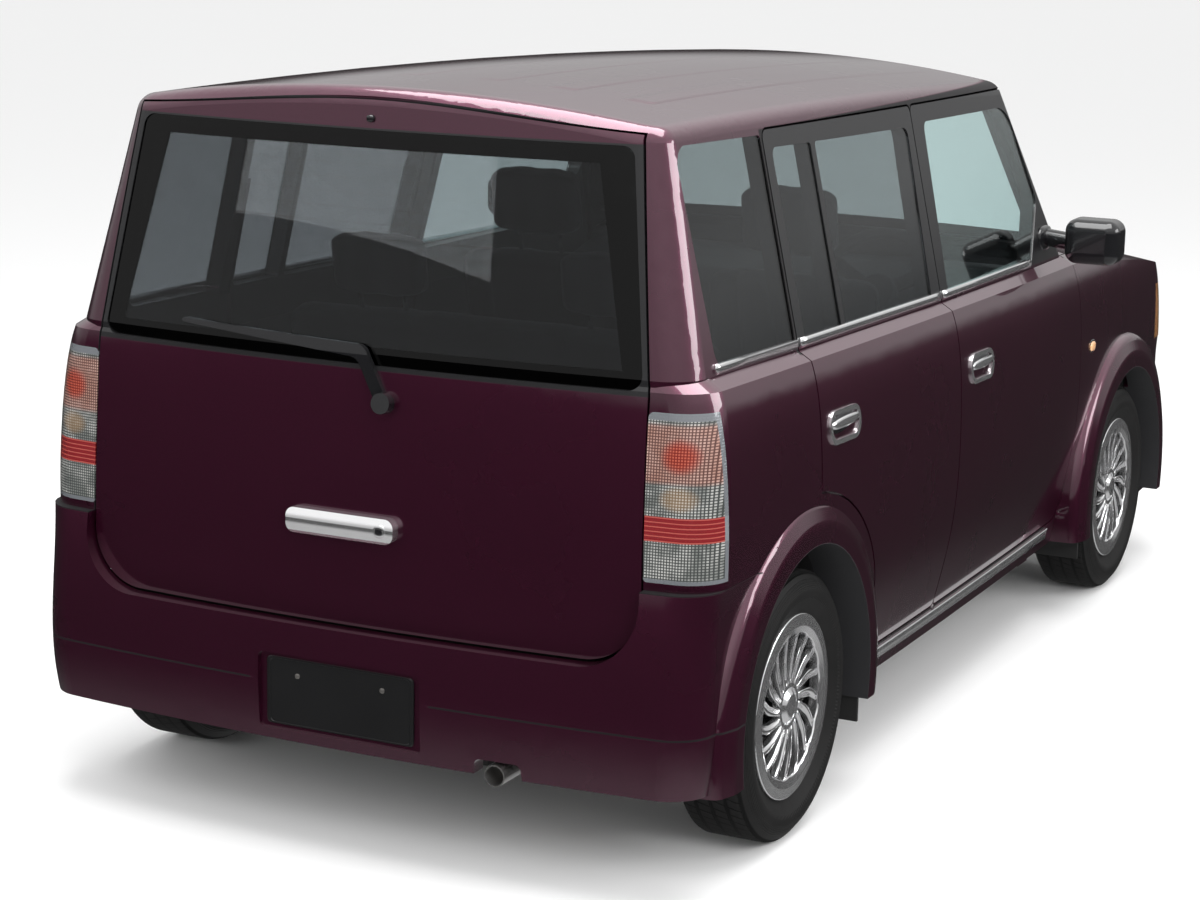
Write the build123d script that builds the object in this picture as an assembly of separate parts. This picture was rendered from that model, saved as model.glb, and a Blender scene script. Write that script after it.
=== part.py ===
from build123d import *
import os
from collections import namedtuple
from functools import lru_cache
from math import asin, cos, degrees, radians, sin, sqrt, tan

# Compact five-door minivan with right-hand drive.
# Frame in millimetres: +X is the vehicle's left, +Y its rear and +Z up.
# The origin lies on the ground, under the middle of the length and the width.

# ---------------------------------------------------------------- driving sizes
LENGTH = 3825.0
WIDTH = 1690.0
HEIGHT = 1640.0
WHEELBASE = 2500.0
FRONT_OVERHANG = 736.4
TRACK = 1454.0
TYRE_RADIUS = 301.5
TYRE_WIDTH = 186.0
RIM_RADIUS = 190.5
RIM_HALF = 70.0
FLANGE_RADIUS = 208.0

NOSE = -LENGTH / 2
TAIL = LENGTH / 2
FLARE_HALF = WIDTH / 2
FRONT_AXLE = NOSE + FRONT_OVERHANG
REAR_AXLE = FRONT_AXLE + WHEELBASE
WHEEL_X = TRACK / 2

# ---------------------------------------------------------------- walls and fits
DOOR_GAP = 5.0
DOOR_SKIN = 30.0
DOOR_WALL = 95.0
DOOR_STEP = 38.0
FRAME_SKIN = 20.0
FRAME_WALL = 45.0
BAY_WALL = 30.0
BUMPER_WALL = 40.0
GLASS = 5.0
GLASS_SET_IN = 3.0
SEAT_FIT = 0.3
LINK_FIT = 0.6

# ---------------------------------------------------------------- body heights
SKIRT_Z = 228.0
SILL_Z = 302.0
FLOOR_Z = 262.0
FLOOR_THICK = 34.0
SHOULDER_Z = 1039.0
BELT_Z = 1061.0
LUGGAGE_Z = 520.0
SEAT_STEP_Z = 400.0

WIDEST_Y = 400.0
Plan2 = namedtuple("Plan2", "rear_corner front_corner rear_side_bow front_side_bow rear_bow front_bow")
BODY_PLAN = Plan2(95, 170, 16, 50, 52, 105)
CABIN_FOOT_PLAN = Plan2(88, 75, 22, 22, 50, 120)
CABIN_TOP_PLAN = Plan2(70, 60, 16, 16, 45, 70)
BUMPER_PLAN = Plan2(95, 190, 16, 50, 46, 112)

# Each section of the lower body: height, pitch, and how far its side, tail and nose lie inside the
# overall width and length.
LOWER_SECTIONS = [
    (SKIRT_Z, 0.0, 73, 44.5, 62.5),
    (360.0, 0.0, 48, 40.5, 40.5),
    (500.0, 0.0, 21, 38.5, 37.5),
    (700.0, 0.0, 8, 39.5, 52.5),
    (870.0, 0.0, 13, 46.5, 80.5),
    (975.0, 0.6, 26, 54.5, 112.5),
    (SHOULDER_Z, 0.95, 45, 60.5, 137.5),
]
LEDGE = (BELT_Z, 0.95, 80, 66.5, 167.5)
CABIN_FOOT = (BELT_Z, 0.95, 73, 62.5, 1074.5)
CABIN_TOP = (1650.0, 0.0, 204, 150.5, 1510.5)

# The bonnet's crowned top: distance behind the nose, height on the centre line, and fall at the side.
BONNET_SECTIONS = [(-60, 846, 78), (140, 944, 84), (420, 1008, 84), (820, 1048, 74), (1270, 1092, 52)]
CROWN_REACH = 900.0

ROOF_CROWN = 3750.0
ROOF_LONG_RADIUS = 32000.0
ROOF_PEAK_Y = 1250.0
ROOF_EDGE = 45.0

# ---------------------------------------------------------------- wheel arches
ARCH_RADIUS = 365.0
FLARE_RADIUS = 462.0
FRONT_WELL_X = 452.0
REAR_WELL_X = 585.0

# ---------------------------------------------------------------- shut lines
DOOR_FRONT_Y = -700.0
PILLAR_Y = 362.0
DOOR_REAR_Y = 1265.0
DITCH_X = 600.0
BONNET_SIDE_X = 690.0
BONNET_LIP_Z = 868.0
BUMPER_TOP_Z = 668.0
FRONT_BUMPER_TOP_Z = 690.0
BULKHEAD_Y = -860.0

FAR = 2500.0


def rounded(corners):
    """A flat face whose corners (x, y, radius) each get their own arc."""
    starts, mids, ends = [], [], []
    for index, (x, y, radius) in enumerate(corners):
        corner = Vector(x, y)
        before = (Vector(*corners[index - 1][:2]) - corner).normalized()
        after = (Vector(*corners[(index + 1) % len(corners)][:2]) - corner).normalized()
        half = radians(before.get_angle(after)) / 2
        reach = radius / tan(half)
        starts.append(corner + before * reach)
        ends.append(corner + after * reach)
        mids.append(corner + (before + after).normalized() * (radius / sin(half) - radius) if radius else corner)
    edges = []
    for index in range(len(corners)):
        if corners[index][2]:
            edges.append(ThreePointArc(starts[index], mids[index], ends[index]).edge())
        edges.append(Line(ends[index], starts[(index + 1) % len(corners)]).edge())
    return Face(Wire(edges))


def side_prism(face, x0, x1):
    """A face drawn in (Y, Z), pushed through from x0 to x1."""
    return extrude(Plane.YZ.offset(x0).location * face, amount=x1 - x0, dir=(1, 0, 0))


def rear_prism(face, y0, y1):
    """A face drawn in (X, Z), pushed through from y0 to y1."""
    plane = Plane(origin=(0, y0, 0), x_dir=(1, 0, 0), z_dir=(0, -1, 0))
    return extrude(plane.location * face, amount=y1 - y0, dir=(0, 1, 0))


def plan_prism(face, z0, z1):
    """A face drawn in (X, Y), pushed through from z0 to z1."""
    return extrude(Pos(0, 0, z0) * face, amount=z1 - z0, dir=(0, 0, 1))


def block(x0, x1, y0, y1, z0, z1):
    """A box from its two corners."""
    return Pos((x0 + x1) / 2, (y0 + y1) / 2, (z0 + z1) / 2) * Box(x1 - x0, y1 - y0, z1 - z0)


def round_bar(x, y, z, radius, length, axis="X"):
    """A cylinder centred on (x, y, z) along one axis."""
    turn = {"X": Rot(0, 90, 0), "Y": Rot(90, 0, 0), "Z": Rot(0, 0, 0)}[axis]
    return Pos(x, y, z) * turn * Cylinder(radius, length)


def tube_between(start, end, radius):
    """A round bar from one point to another."""
    line = Line(start, end)
    section = Plane(origin=start, z_dir=line % 0) * Circle(radius)
    return extrude(section, amount=line.length)


def mirrored(shape):
    """The same shape on the other side of the vehicle."""
    return mirror(shape, Plane.YZ)


# ---------------------------------------------------------------- body volumes
def plan_outline(section, plan, inset):
    """A horizontal section of the body: four bowed sides with rounded corners."""
    z, pitch, side_in, tail_in, nose_in = section
    half = FLARE_HALF - side_in - inset
    rear = TAIL - tail_in - inset
    front = NOSE + nose_in + inset
    rear_edge = half - plan.rear_side_bow
    front_edge = half - plan.front_side_bow
    rear_left = (rear_edge, rear - plan.rear_bow)
    rear_right = (-rear_edge, rear - plan.rear_bow)
    front_left = (front_edge, front + plan.front_bow)
    front_right = (-front_edge, front + plan.front_bow)
    middle = WIDEST_Y
    face = Face(Wire([
        ThreePointArc(rear_right, (0, rear), rear_left).edge(),
        ThreePointArc(rear_left, (half, middle), front_left).edge(),
        ThreePointArc(front_left, (0, front), front_right).edge(),
        ThreePointArc(front_right, (-half, middle), rear_right).edge(),
    ]))
    rear_corners = [v for v in face.vertices() if v.Y > middle]
    face = face.fillet_2d(max(plan.rear_corner - inset, 15), rear_corners)
    front_corners = [v for v in face.vertices() if v.Y < middle and abs(abs(v.X) - front_edge) < 0.01]
    face = face.fillet_2d(max(plan.front_corner - inset, 15), front_corners)
    tilt = radians(pitch)
    return Plane(origin=(0, 0, z), x_dir=(1, 0, 0), z_dir=(0, -sin(tilt), cos(tilt))).location * face


def bonnet_mask(drop):
    """Everything under the bonnet's crowned top, lowered by drop, and all of the body behind it."""
    faces = []
    for behind, centre, fall in BONNET_SECTIONS:
        top = centre - drop
        edge = top - fall
        wire = Wire([
            ThreePointArc((-CROWN_REACH, edge), (0, top), (CROWN_REACH, edge)).edge(),
            Line((CROWN_REACH, edge), (CROWN_REACH, 0)).edge(),
            Line((CROWN_REACH, 0), (-CROWN_REACH, 0)).edge(),
            Line((-CROWN_REACH, 0), (-CROWN_REACH, edge)).edge(),
        ])
        plane = Plane(origin=(0, NOSE + behind, 0), x_dir=(1, 0, 0), z_dir=(0, -1, 0))
        faces.append(plane.location * Face(wire))
    last = NOSE + BONNET_SECTIONS[-1][0]
    return loft(faces) + block(-CROWN_REACH, CROWN_REACH, last, TAIL + 100, 0, HEIGHT)


@lru_cache(maxsize=None)
def lower_core(inset):
    """The plain loft of the lower body, every wall moved in by inset."""
    return loft([plan_outline(section, BODY_PLAN, inset) for section in LOWER_SECTIONS])


@lru_cache(maxsize=None)
def lower_volume(inset, drop=0.0):
    """The body below the belt, with the shoulder ledge, every wall moved in by inset."""
    core = lower_core(inset)
    ledge_foot = plan_outline(LOWER_SECTIONS[-1], BODY_PLAN, inset)
    ledge = loft([ledge_foot, plan_outline(LEDGE, BODY_PLAN, inset)], ruled=True)
    ledge = ledge & block(-FAR, FAR, DOOR_FRONT_Y, FAR, 0, HEIGHT)
    return (core & bonnet_mask(drop)) + ledge


def roof_slab(drop):
    """Everything under the crowned roof surface, lowered by drop."""
    peak = HEIGHT - drop
    edge = peak - ROOF_CROWN + sqrt(ROOF_CROWN**2 - CROWN_REACH**2)
    face = Face(Wire([
        ThreePointArc((-CROWN_REACH, edge), (0, peak), (CROWN_REACH, edge)).edge(),
        Line((CROWN_REACH, edge), (CROWN_REACH, BELT_Z - 200)).edge(),
        Line((CROWN_REACH, BELT_Z - 200), (-CROWN_REACH, BELT_Z - 200)).edge(),
        Line((-CROWN_REACH, BELT_Z - 200), (-CROWN_REACH, edge)).edge(),
    ]))
    section = Plane(origin=(0, ROOF_PEAK_Y, 0), x_dir=(1, 0, 0), z_dir=(0, -1, 0)).location * face
    axis = Axis((0, ROOF_PEAK_Y, HEIGHT - ROOF_LONG_RADIUS), (1, 0, 0))
    return revolve(section, axis, 6) + revolve(section, axis, -6)


@lru_cache(maxsize=None)
def cabin_volume(inset, edge_radius=0.0):
    """The glasshouse above the belt, every wall moved in by inset."""
    foot = plan_outline(CABIN_FOOT, CABIN_FOOT_PLAN, inset)
    body = loft([foot, plan_outline(CABIN_TOP, CABIN_TOP_PLAN, inset)], ruled=True) & roof_slab(inset)
    if edge_radius:
        body = fillet(body.faces().sort_by(Axis.Z)[-1].edges(), edge_radius)
    skirt = extrude(foot, amount=90, dir=(0, 0, -1))
    return body + skirt


def flare_ring(axle_y, side):
    """The proud lip around one wheel arch, as a ring about the axle."""
    profile = rounded([
        (ARCH_RADIUS - 20, FLARE_HALF - 90, 0),
        (ARCH_RADIUS - 20, FLARE_HALF, 0),
        (ARCH_RADIUS + 42, FLARE_HALF, 60),
        (FLARE_RADIUS, FLARE_HALF - 18, 30),
        (FLARE_RADIUS + 6, FLARE_HALF - 90, 0),
    ])
    ring = revolve(Plane.XZ.location * profile, Axis.Z, 360)
    turn = Rot(0, 90, 0) if side > 0 else Rot(0, -90, 0)
    ring = Pos(0, axle_y, TYRE_RADIUS) * turn * ring
    return ring & block(-FAR, FAR, -FAR, FAR, SKIRT_Z, HEIGHT)


def wheel_well(axle_y, inner, side):
    """The space in one wheel arch, open to the ground."""
    middle = side * (inner + FAR) / 2
    return round_bar(middle, axle_y, TYRE_RADIUS, ARCH_RADIUS, FAR - inner)


FLARES = [flare_ring(y, side) for y in (FRONT_AXLE, REAR_AXLE) for side in (1, -1)]
WELLS = Part() + [
    wheel_well(y, inner, side)
    for y, inner in ((FRONT_AXLE, FRONT_WELL_X), (REAR_AXLE, REAR_WELL_X))
    for side in (1, -1)
]


BUMPER_REAR_SECTIONS = [
    (238.0, 0.0, 22, 8, 0), (341.0, 0.0, 12, 0.8, 0), (480.0, 0.0, 14, 1.8, 0), (BUMPER_TOP_Z, 0.0, 10, 22, 0),
]
BUMPER_FRONT_SECTIONS = [
    (205.0, 0.0, 24, 0, 14), (341.0, 0.0, 12, 0, 0.25), (500.0, 0.0, 16, 0, 6.25), (FRONT_BUMPER_TOP_Z, 0.0, 9, 0, 36),
]


def bumper_volume(sections, inset):
    """The block that a bumper wraps, every wall moved in by inset."""
    return loft([plan_outline(section, BUMPER_PLAN, inset) for section in sections])


OUTER = lower_volume(0) + cabin_volume(0, ROOF_EDGE) + FLARES - WELLS
BEHIND_SKIN = lower_volume(DOOR_SKIN) + cabin_volume(FRAME_SKIN)
BEHIND_GAP = lower_volume(DOOR_SKIN + DOOR_GAP) + cabin_volume(FRAME_SKIN + DOOR_GAP)
CABIN = (lower_volume(DOOR_WALL) + cabin_volume(FRAME_WALL)) & block(-FAR, FAR, BULKHEAD_Y + 30, FAR, 0, FAR)
BAY = lower_volume(BAY_WALL, BAY_WALL) & block(-FAR, FAR, -FAR, BULKHEAD_Y, 0, FAR)
GLASS_OUT = cabin_volume(GLASS_SET_IN)
GLASS_IN = cabin_volume(GLASS_SET_IN + GLASS)
GLASS_SHELL = GLASS_OUT - GLASS_IN
SHELL = OUTER - CABIN - BAY
LEFT = block(DITCH_X + DOOR_GAP, FAR, DOOR_FRONT_Y, DOOR_REAR_Y, SKIRT_Z, HEIGHT)
LEFT_OUTER = OUTER & LEFT
LEFT_BEHIND = BEHIND_SKIN & LEFT
SKIN_SHELL = LEFT_OUTER - LEFT_BEHIND
CORE_SHELL = LEFT_BEHIND - CABIN

# ---------------------------------------------------------------- outlines in side view (Y, Z)
DOOR_TOP_FRONT_Z = 1526.0
DOOR_TOP_REAR_Z = 1547.0
HALF_GAP = DOOR_GAP / 2


def door_top(y):
    """The height of the door frames' upper edge, which rises a little to the rear."""
    share = (y + 415) / (DOOR_REAR_Y + 415)
    return DOOR_TOP_FRONT_Z + share * (DOOR_TOP_REAR_Z - DOOR_TOP_FRONT_Z)


def circle_face(x, y, radius):
    return Pos(x, y) * Face(Wire(Edge.make_circle(radius)))


FRONT_DOOR_LINE = rounded([
    (DOOR_FRONT_Y + HALF_GAP, SILL_Z, 35),
    (PILLAR_Y - HALF_GAP, SILL_Z, 12),
    (PILLAR_Y - HALF_GAP, door_top(PILLAR_Y), 18),
    (-415, DOOR_TOP_FRONT_Z, 70),
    (DOOR_FRONT_Y + HALF_GAP, SHOULDER_Z, 30),
])
REAR_DOOR_LINE = rounded([
    (PILLAR_Y + HALF_GAP, SILL_Z, 12),
    (DOOR_REAR_Y - HALF_GAP, SILL_Z, 0),
    (DOOR_REAR_Y - HALF_GAP, door_top(DOOR_REAR_Y), 22),
    (PILLAR_Y + HALF_GAP, door_top(PILLAR_Y), 18),
]) - circle_face(REAR_AXLE, TYRE_RADIUS, FLARE_RADIUS + 16)

FRONT_WINDOW = rounded([
    (306, 1071, 14), (281, 1492, 25), (-408, 1480, 130), (-545, 1219, 35), (-407, 1069, 18),
])
REAR_WINDOW = rounded([(428, 1076, 14), (990, 1085, 8), (990, 1502, 10), (401, 1488, 25)])
REAR_VENT = rounded([(1014, 1086, 8), (1222, 1089, 14), (1226, 1508, 22), (1014, 1502, 10)])
QUARTER_WINDOW = rounded([(1276, 1090, 10), (1668, 1096, 45), (1684, 1546, 45), (1276, 1538, 10)])
SIDE_WINDOWS = [FRONT_WINDOW, REAR_WINDOW, REAR_VENT]

# ---------------------------------------------------------------- outlines in rear view (X, Z)
TAILGATE_TOP_X = 600.0
TAILGATE_BELT_X = 667.0
TAILGATE_LAMP_X = 672.0
TAILGATE_FOOT_Z = 508.0


def both_sides(half_outline):
    """A closed outline from its right-hand half, which runs from top to bottom."""
    return half_outline + [(-x, y, r) for x, y, r in reversed(half_outline)]


TAILGATE_LINE = rounded(both_sides([
    (TAILGATE_TOP_X, HEIGHT + 60, 0),
    (TAILGATE_TOP_X + 5, 1560, 0),
    (TAILGATE_BELT_X, BELT_Z, 60),
    (TAILGATE_LAMP_X, 700, 60),
    (TAILGATE_LAMP_X + 4, TAILGATE_FOOT_Z, 125),
]))
REAR_GLASS_LINE = rounded(both_sides([(590, 1548, 28), (656, 1068, 30)]))
WINDSCREEN_LINE = rounded(both_sides([(592, 1540, 55), (697, 1075, 40)]))
LAMP_LOW_Z = 685.0
LAMP_HIGH_Z = 1031.0
TAIL_LAMP_LINE = rounded([
    (TAILGATE_LAMP_X + 4, LAMP_LOW_Z, 8),
    (900, LAMP_LOW_Z, 0),
    (900, LAMP_HIGH_Z, 0),
    (TAILGATE_LAMP_X - 1, LAMP_HIGH_Z, 12),
])

HINGE_Y = 1715.0
HINGE_Z = 1622.0
HINGE_RADIUS = 48.0
HINGE_BARREL = round_bar(0, HINGE_Y, HINGE_Z, HINGE_RADIUS, 2 * FAR)
HINGE_SWEEP = round_bar(0, HINGE_Y, HINGE_Z, HINGE_RADIUS + DOOR_GAP, 2 * FAR)
BONNET_HINGE_Y = -905.0
BONNET_HINGE_Z = 1035.0
BONNET_HINGE_RADIUS = 30.0

SPRING_FOOT_Z = 640.0
TOWER_Z = 838.0
TOWER_RADIUS = 88.0
HOUSE_MOUTH = 330.0
ENGINE_FOOT_Z = 300.0
HOUSE_FOOT_Z = 440.0
BUSH_X = 532.0
BUSH_LENGTH = 110.0
BUSH_RADIUS = 36.0
REAR_FLOOR_Y = REAR_AXLE - ARCH_RADIUS - 9
TIP_X = -373.0
TIP_Z = 240.0
TIP_RADIUS = 24.0
KINGPIN_LOW = (660.0, FRONT_AXLE, 190.0)
KINGPIN_TOP = (548.0, FRONT_AXLE, 850.0)
STRUT_JOINT_Z = 560.0


def kingpin_point(z):
    """A point on the left steering axis at one height."""
    share = (z - KINGPIN_LOW[2]) / (KINGPIN_TOP[2] - KINGPIN_LOW[2])
    return Vector(KINGPIN_LOW[0] + share * (KINGPIN_TOP[0] - KINGPIN_LOW[0]), FRONT_AXLE, z)



parts = {}


def write_parts():
    """Writes each named piece to its own STEP file."""
    os.makedirs("parts", exist_ok=True)
    for name, shape in parts.items():
        export_step(shape, os.path.join("parts", name + ".step"))


# ---------------------------------------------------------------- doors
def door_panel(line, windows):
    """One left-hand door: a skin over a smaller inner box that steps in behind the opening's edge."""
    skin = SKIN_SHELL & side_prism(line, 300, FAR)
    box = CORE_SHELL & side_prism(offset(line, -DOOR_STEP), 300, FAR)
    door = skin + box
    for window in windows:
        door -= side_prism(window, 300, FAR)
    return door


def door_opening(line):
    """The stepped opening in the side frame that one door closes, with its running gap."""
    skin = side_prism(offset(line, DOOR_GAP), 300, FAR) - BEHIND_GAP
    box = side_prism(offset(line, DOOR_GAP * 3 - DOOR_STEP), 300, FAR)
    return skin + box


FRONT_DOOR = door_panel(FRONT_DOOR_LINE, [FRONT_WINDOW])
REAR_DOOR = door_panel(REAR_DOOR_LINE, [REAR_WINDOW, REAR_VENT])


def side_glass(windows):
    return Part() + [side_prism(window, 300, FAR) & GLASS_SHELL for window in windows]


# ---------------------------------------------------------------- zones of the fixed panels
JOINT_Y = 260.0
PLATE_RECESS = 14.0
PLATE_BOLTS = 210.0
COWL_Z = 1000.0
COWL_X = 697.0
BAY_CORNER_Y = -1545.0
HINGE_TOP = HINGE_Z - HINGE_RADIUS

TAILGATE_ZONE = rear_prism(TAILGATE_LINE, 1600, FAR) - HINGE_SWEEP
TAILGATE_ZONE -= block(-FAR, FAR, 0, HINGE_Y, HINGE_TOP - DOOR_GAP, FAR)
TAILGATE_OPENING = rear_prism(offset(TAILGATE_LINE, DOOR_GAP), 1600, FAR) - HINGE_BARREL
TAILGATE_OPENING -= block(-FAR, FAR, 0, HINGE_Y, HINGE_TOP, FAR)
BUMPER_REAR_ZONE = block(-FAR, FAR, REAR_AXLE + JOINT_Y, FAR, 0, BUMPER_TOP_Z)
BUMPER_FRONT_ZONE = block(-FAR, FAR, -FAR, FRONT_AXLE - JOINT_Y, 0, FRONT_BUMPER_TOP_Z)
TAIL_LAMP_ZONE = rear_prism(TAIL_LAMP_LINE, 1745, FAR)
ROOF_ZONE = block(-DITCH_X, DITCH_X, -700, FAR, 1480, FAR)
WINDSCREEN_ZONE = rear_prism(WINDSCREEN_LINE, -1200, -200)
COWL_ZONE = block(-COWL_X, COWL_X, BONNET_HINGE_Y, -640, COWL_Z, BELT_Z + 20)
COWL_ZONE -= round_bar(0, BONNET_HINGE_Y, BONNET_HINGE_Z, BONNET_HINGE_RADIUS + DOOR_GAP, 2 * FAR)
BONNET_SWEEP = block(-BONNET_SIDE_X - HALF_GAP, BONNET_SIDE_X + HALF_GAP, -FAR, BONNET_HINGE_Y,
                     BONNET_LIP_Z - HALF_GAP, FAR)
BONNET_SWEEP += round_bar(0, BONNET_HINGE_Y, BONNET_HINGE_Z, BONNET_HINGE_RADIUS + DOOR_GAP,
                         2 * BONNET_SIDE_X + DOOR_GAP)
BONNET_ZONE = block(-BONNET_SIDE_X + HALF_GAP, BONNET_SIDE_X - HALF_GAP, -FAR, BONNET_HINGE_Y,
                    BONNET_LIP_Z + HALF_GAP, FAR)
BONNET_ZONE += round_bar(0, BONNET_HINGE_Y, BONNET_HINGE_Z, BONNET_HINGE_RADIUS, 2 * (BONNET_SIDE_X - HALF_GAP))
HEAD_LAMP_X = 455.0
HEAD_LAMP_LOW_Z = FRONT_BUMPER_TOP_Z
HEAD_LAMP_HIGH_Z = 860.0
HEAD_LAMP_LINE = rounded([
    (HEAD_LAMP_X + 14, HEAD_LAMP_LOW_Z, 12), (900, HEAD_LAMP_LOW_Z, 0),
    (900, HEAD_LAMP_HIGH_Z, 0), (HEAD_LAMP_X, HEAD_LAMP_HIGH_Z, 12),
])
HEAD_LAMP_ZONE = rear_prism(HEAD_LAMP_LINE, -FAR, -1590)
GRILLE_LINE = rounded(both_sides([(HEAD_LAMP_X, HEAD_LAMP_HIGH_Z, 12), (HEAD_LAMP_X + 14, HEAD_LAMP_LOW_Z, 12)]))
GRILLE_ZONE = rear_prism(GRILLE_LINE, -FAR, -1590)
FRAME_LINE = rounded([
    (DOOR_FRONT_Y, 0, 0), (FAR, 0, 0), (FAR, 1800, 0), (-900, 1800, 0), (-900, BELT_Z, 0), (DOOR_FRONT_Y, BELT_Z, 0),
])

# ---------------------------------------------------------------- fixed body panels
SIDE_FRAME = (SHELL & side_prism(FRAME_LINE, 300, FAR)) - door_opening(FRONT_DOOR_LINE)
SIDE_FRAME = SIDE_FRAME - door_opening(REAR_DOOR_LINE) - TAILGATE_OPENING - ROOF_ZONE
SIDE_FRAME = SIDE_FRAME - WINDSCREEN_ZONE - BUMPER_REAR_ZONE - TAIL_LAMP_ZONE - COWL_ZONE
SIDE_FRAME -= side_prism(QUARTER_WINDOW, 300, FAR)
JACK_X = 735.0
JACK_DROP = 6.0
SIDE_FRAME += [
    block(JACK_X - 25, JACK_X + 25, y - 40, y + 40, SKIRT_Z - JACK_DROP, SKIRT_Z + 4) for y in (-450, 650)
]
ROOF = (SHELL & ROOF_ZONE) - TAILGATE_OPENING - WINDSCREEN_ZONE
COWL = (SHELL & COWL_ZONE) - WINDSCREEN_ZONE
TAIL_LAMP = SHELL & TAIL_LAMP_ZONE & block(0, FAR, 0, FAR, 0, FAR)

BAY_SHELL = SHELL & block(-FAR, FAR, -FAR, BULKHEAD_Y + 30, 0, FAR)
BULKHEAD_ZONE = block(-740, 740, BULKHEAD_Y, BULKHEAD_Y + 30, 0, COWL_Z)
FENDER = (SHELL & block(COWL_X - 100, FAR, -FAR, DOOR_FRONT_Y, 0, BELT_Z)) - BULKHEAD_ZONE
FENDER = FENDER - BONNET_SWEEP - BUMPER_FRONT_ZONE - HEAD_LAMP_ZONE - COWL_ZONE - GRILLE_ZONE
BONNET = BAY_SHELL & BONNET_ZONE
NOSE_BLOCK = OUTER & block(-FAR, FAR, -FAR, BAY_CORNER_Y, HEAD_LAMP_LOW_Z - 5, BONNET_LIP_Z)
FRONT_LAMP = ((NOSE_BLOCK & block(0, FAR, -FAR, 0, 0, FAR)) - lower_core(DOOR_WALL)) & HEAD_LAMP_ZONE


def front_bumper():
    """A deep front bumper with a wide lower intake, two fog lamp holes and a plain number plate pad."""
    whole = bumper_volume(BUMPER_FRONT_SECTIONS, 0) + FLARES[0] + FLARES[1]
    shell = (whole - bumper_volume(BUMPER_FRONT_SECTIONS, BUMPER_WALL) - WELLS) & BUMPER_FRONT_ZONE
    intake = rounded(both_sides([(430, 400, 30), (455, 262, 30)]))
    shell -= rear_prism(intake, -FAR, -1650)
    for side in (1, -1):
        shell -= round_bar(side * 610, -1750, 372, 62, 500, "Y")
    return shell


def rear_bumper():
    """A deep rear bumper that wraps under the tailgate as a wide U with a sloping shelf."""
    whole = bumper_volume(BUMPER_REAR_SECTIONS, 0) + FLARES[2] + FLARES[3]
    shell = (whole - bumper_volume(BUMPER_REAR_SECTIONS, BUMPER_WALL) - WELLS) & BUMPER_REAR_ZONE
    shell -= rear_prism(offset(TAILGATE_LINE, DOOR_GAP + 1), 1600, FAR)
    plate = rounded([(-200, 262, 10), (200, 262, 10), (200, 432, 14), (-200, 432, 14)])
    shell -= rear_prism(plate, TAIL - PLATE_RECESS, FAR)
    for side in (1, -1):
        shell -= round_bar(side * PLATE_BOLTS / 2, TAIL - PLATE_RECESS, 385, 3, 40, "Y")
    notch = rounded([(TIP_X - 72, 150, 0), (TIP_X + 58, 150, 0), (TIP_X + 46, TIP_Z + 32, 14), (TIP_X - 58, TIP_Z + 32, 14)])
    shell -= rear_prism(notch, 1600, FAR)
    return shell


def strut_bore():
    """The space round the left spring, open to the wheel well."""
    return tube_between(tuple(kingpin_point(520)), tuple(kingpin_point(TOWER_Z)), TOWER_RADIUS)


def strut_tower():
    """The closed tower over the left front spring."""
    outside = tube_between(tuple(kingpin_point(640)), tuple(kingpin_point(TOWER_Z + 8)), TOWER_RADIUS + 8)
    return (outside - strut_bore()) - wheel_well(FRONT_AXLE, FRONT_WELL_X, 1)


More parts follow.
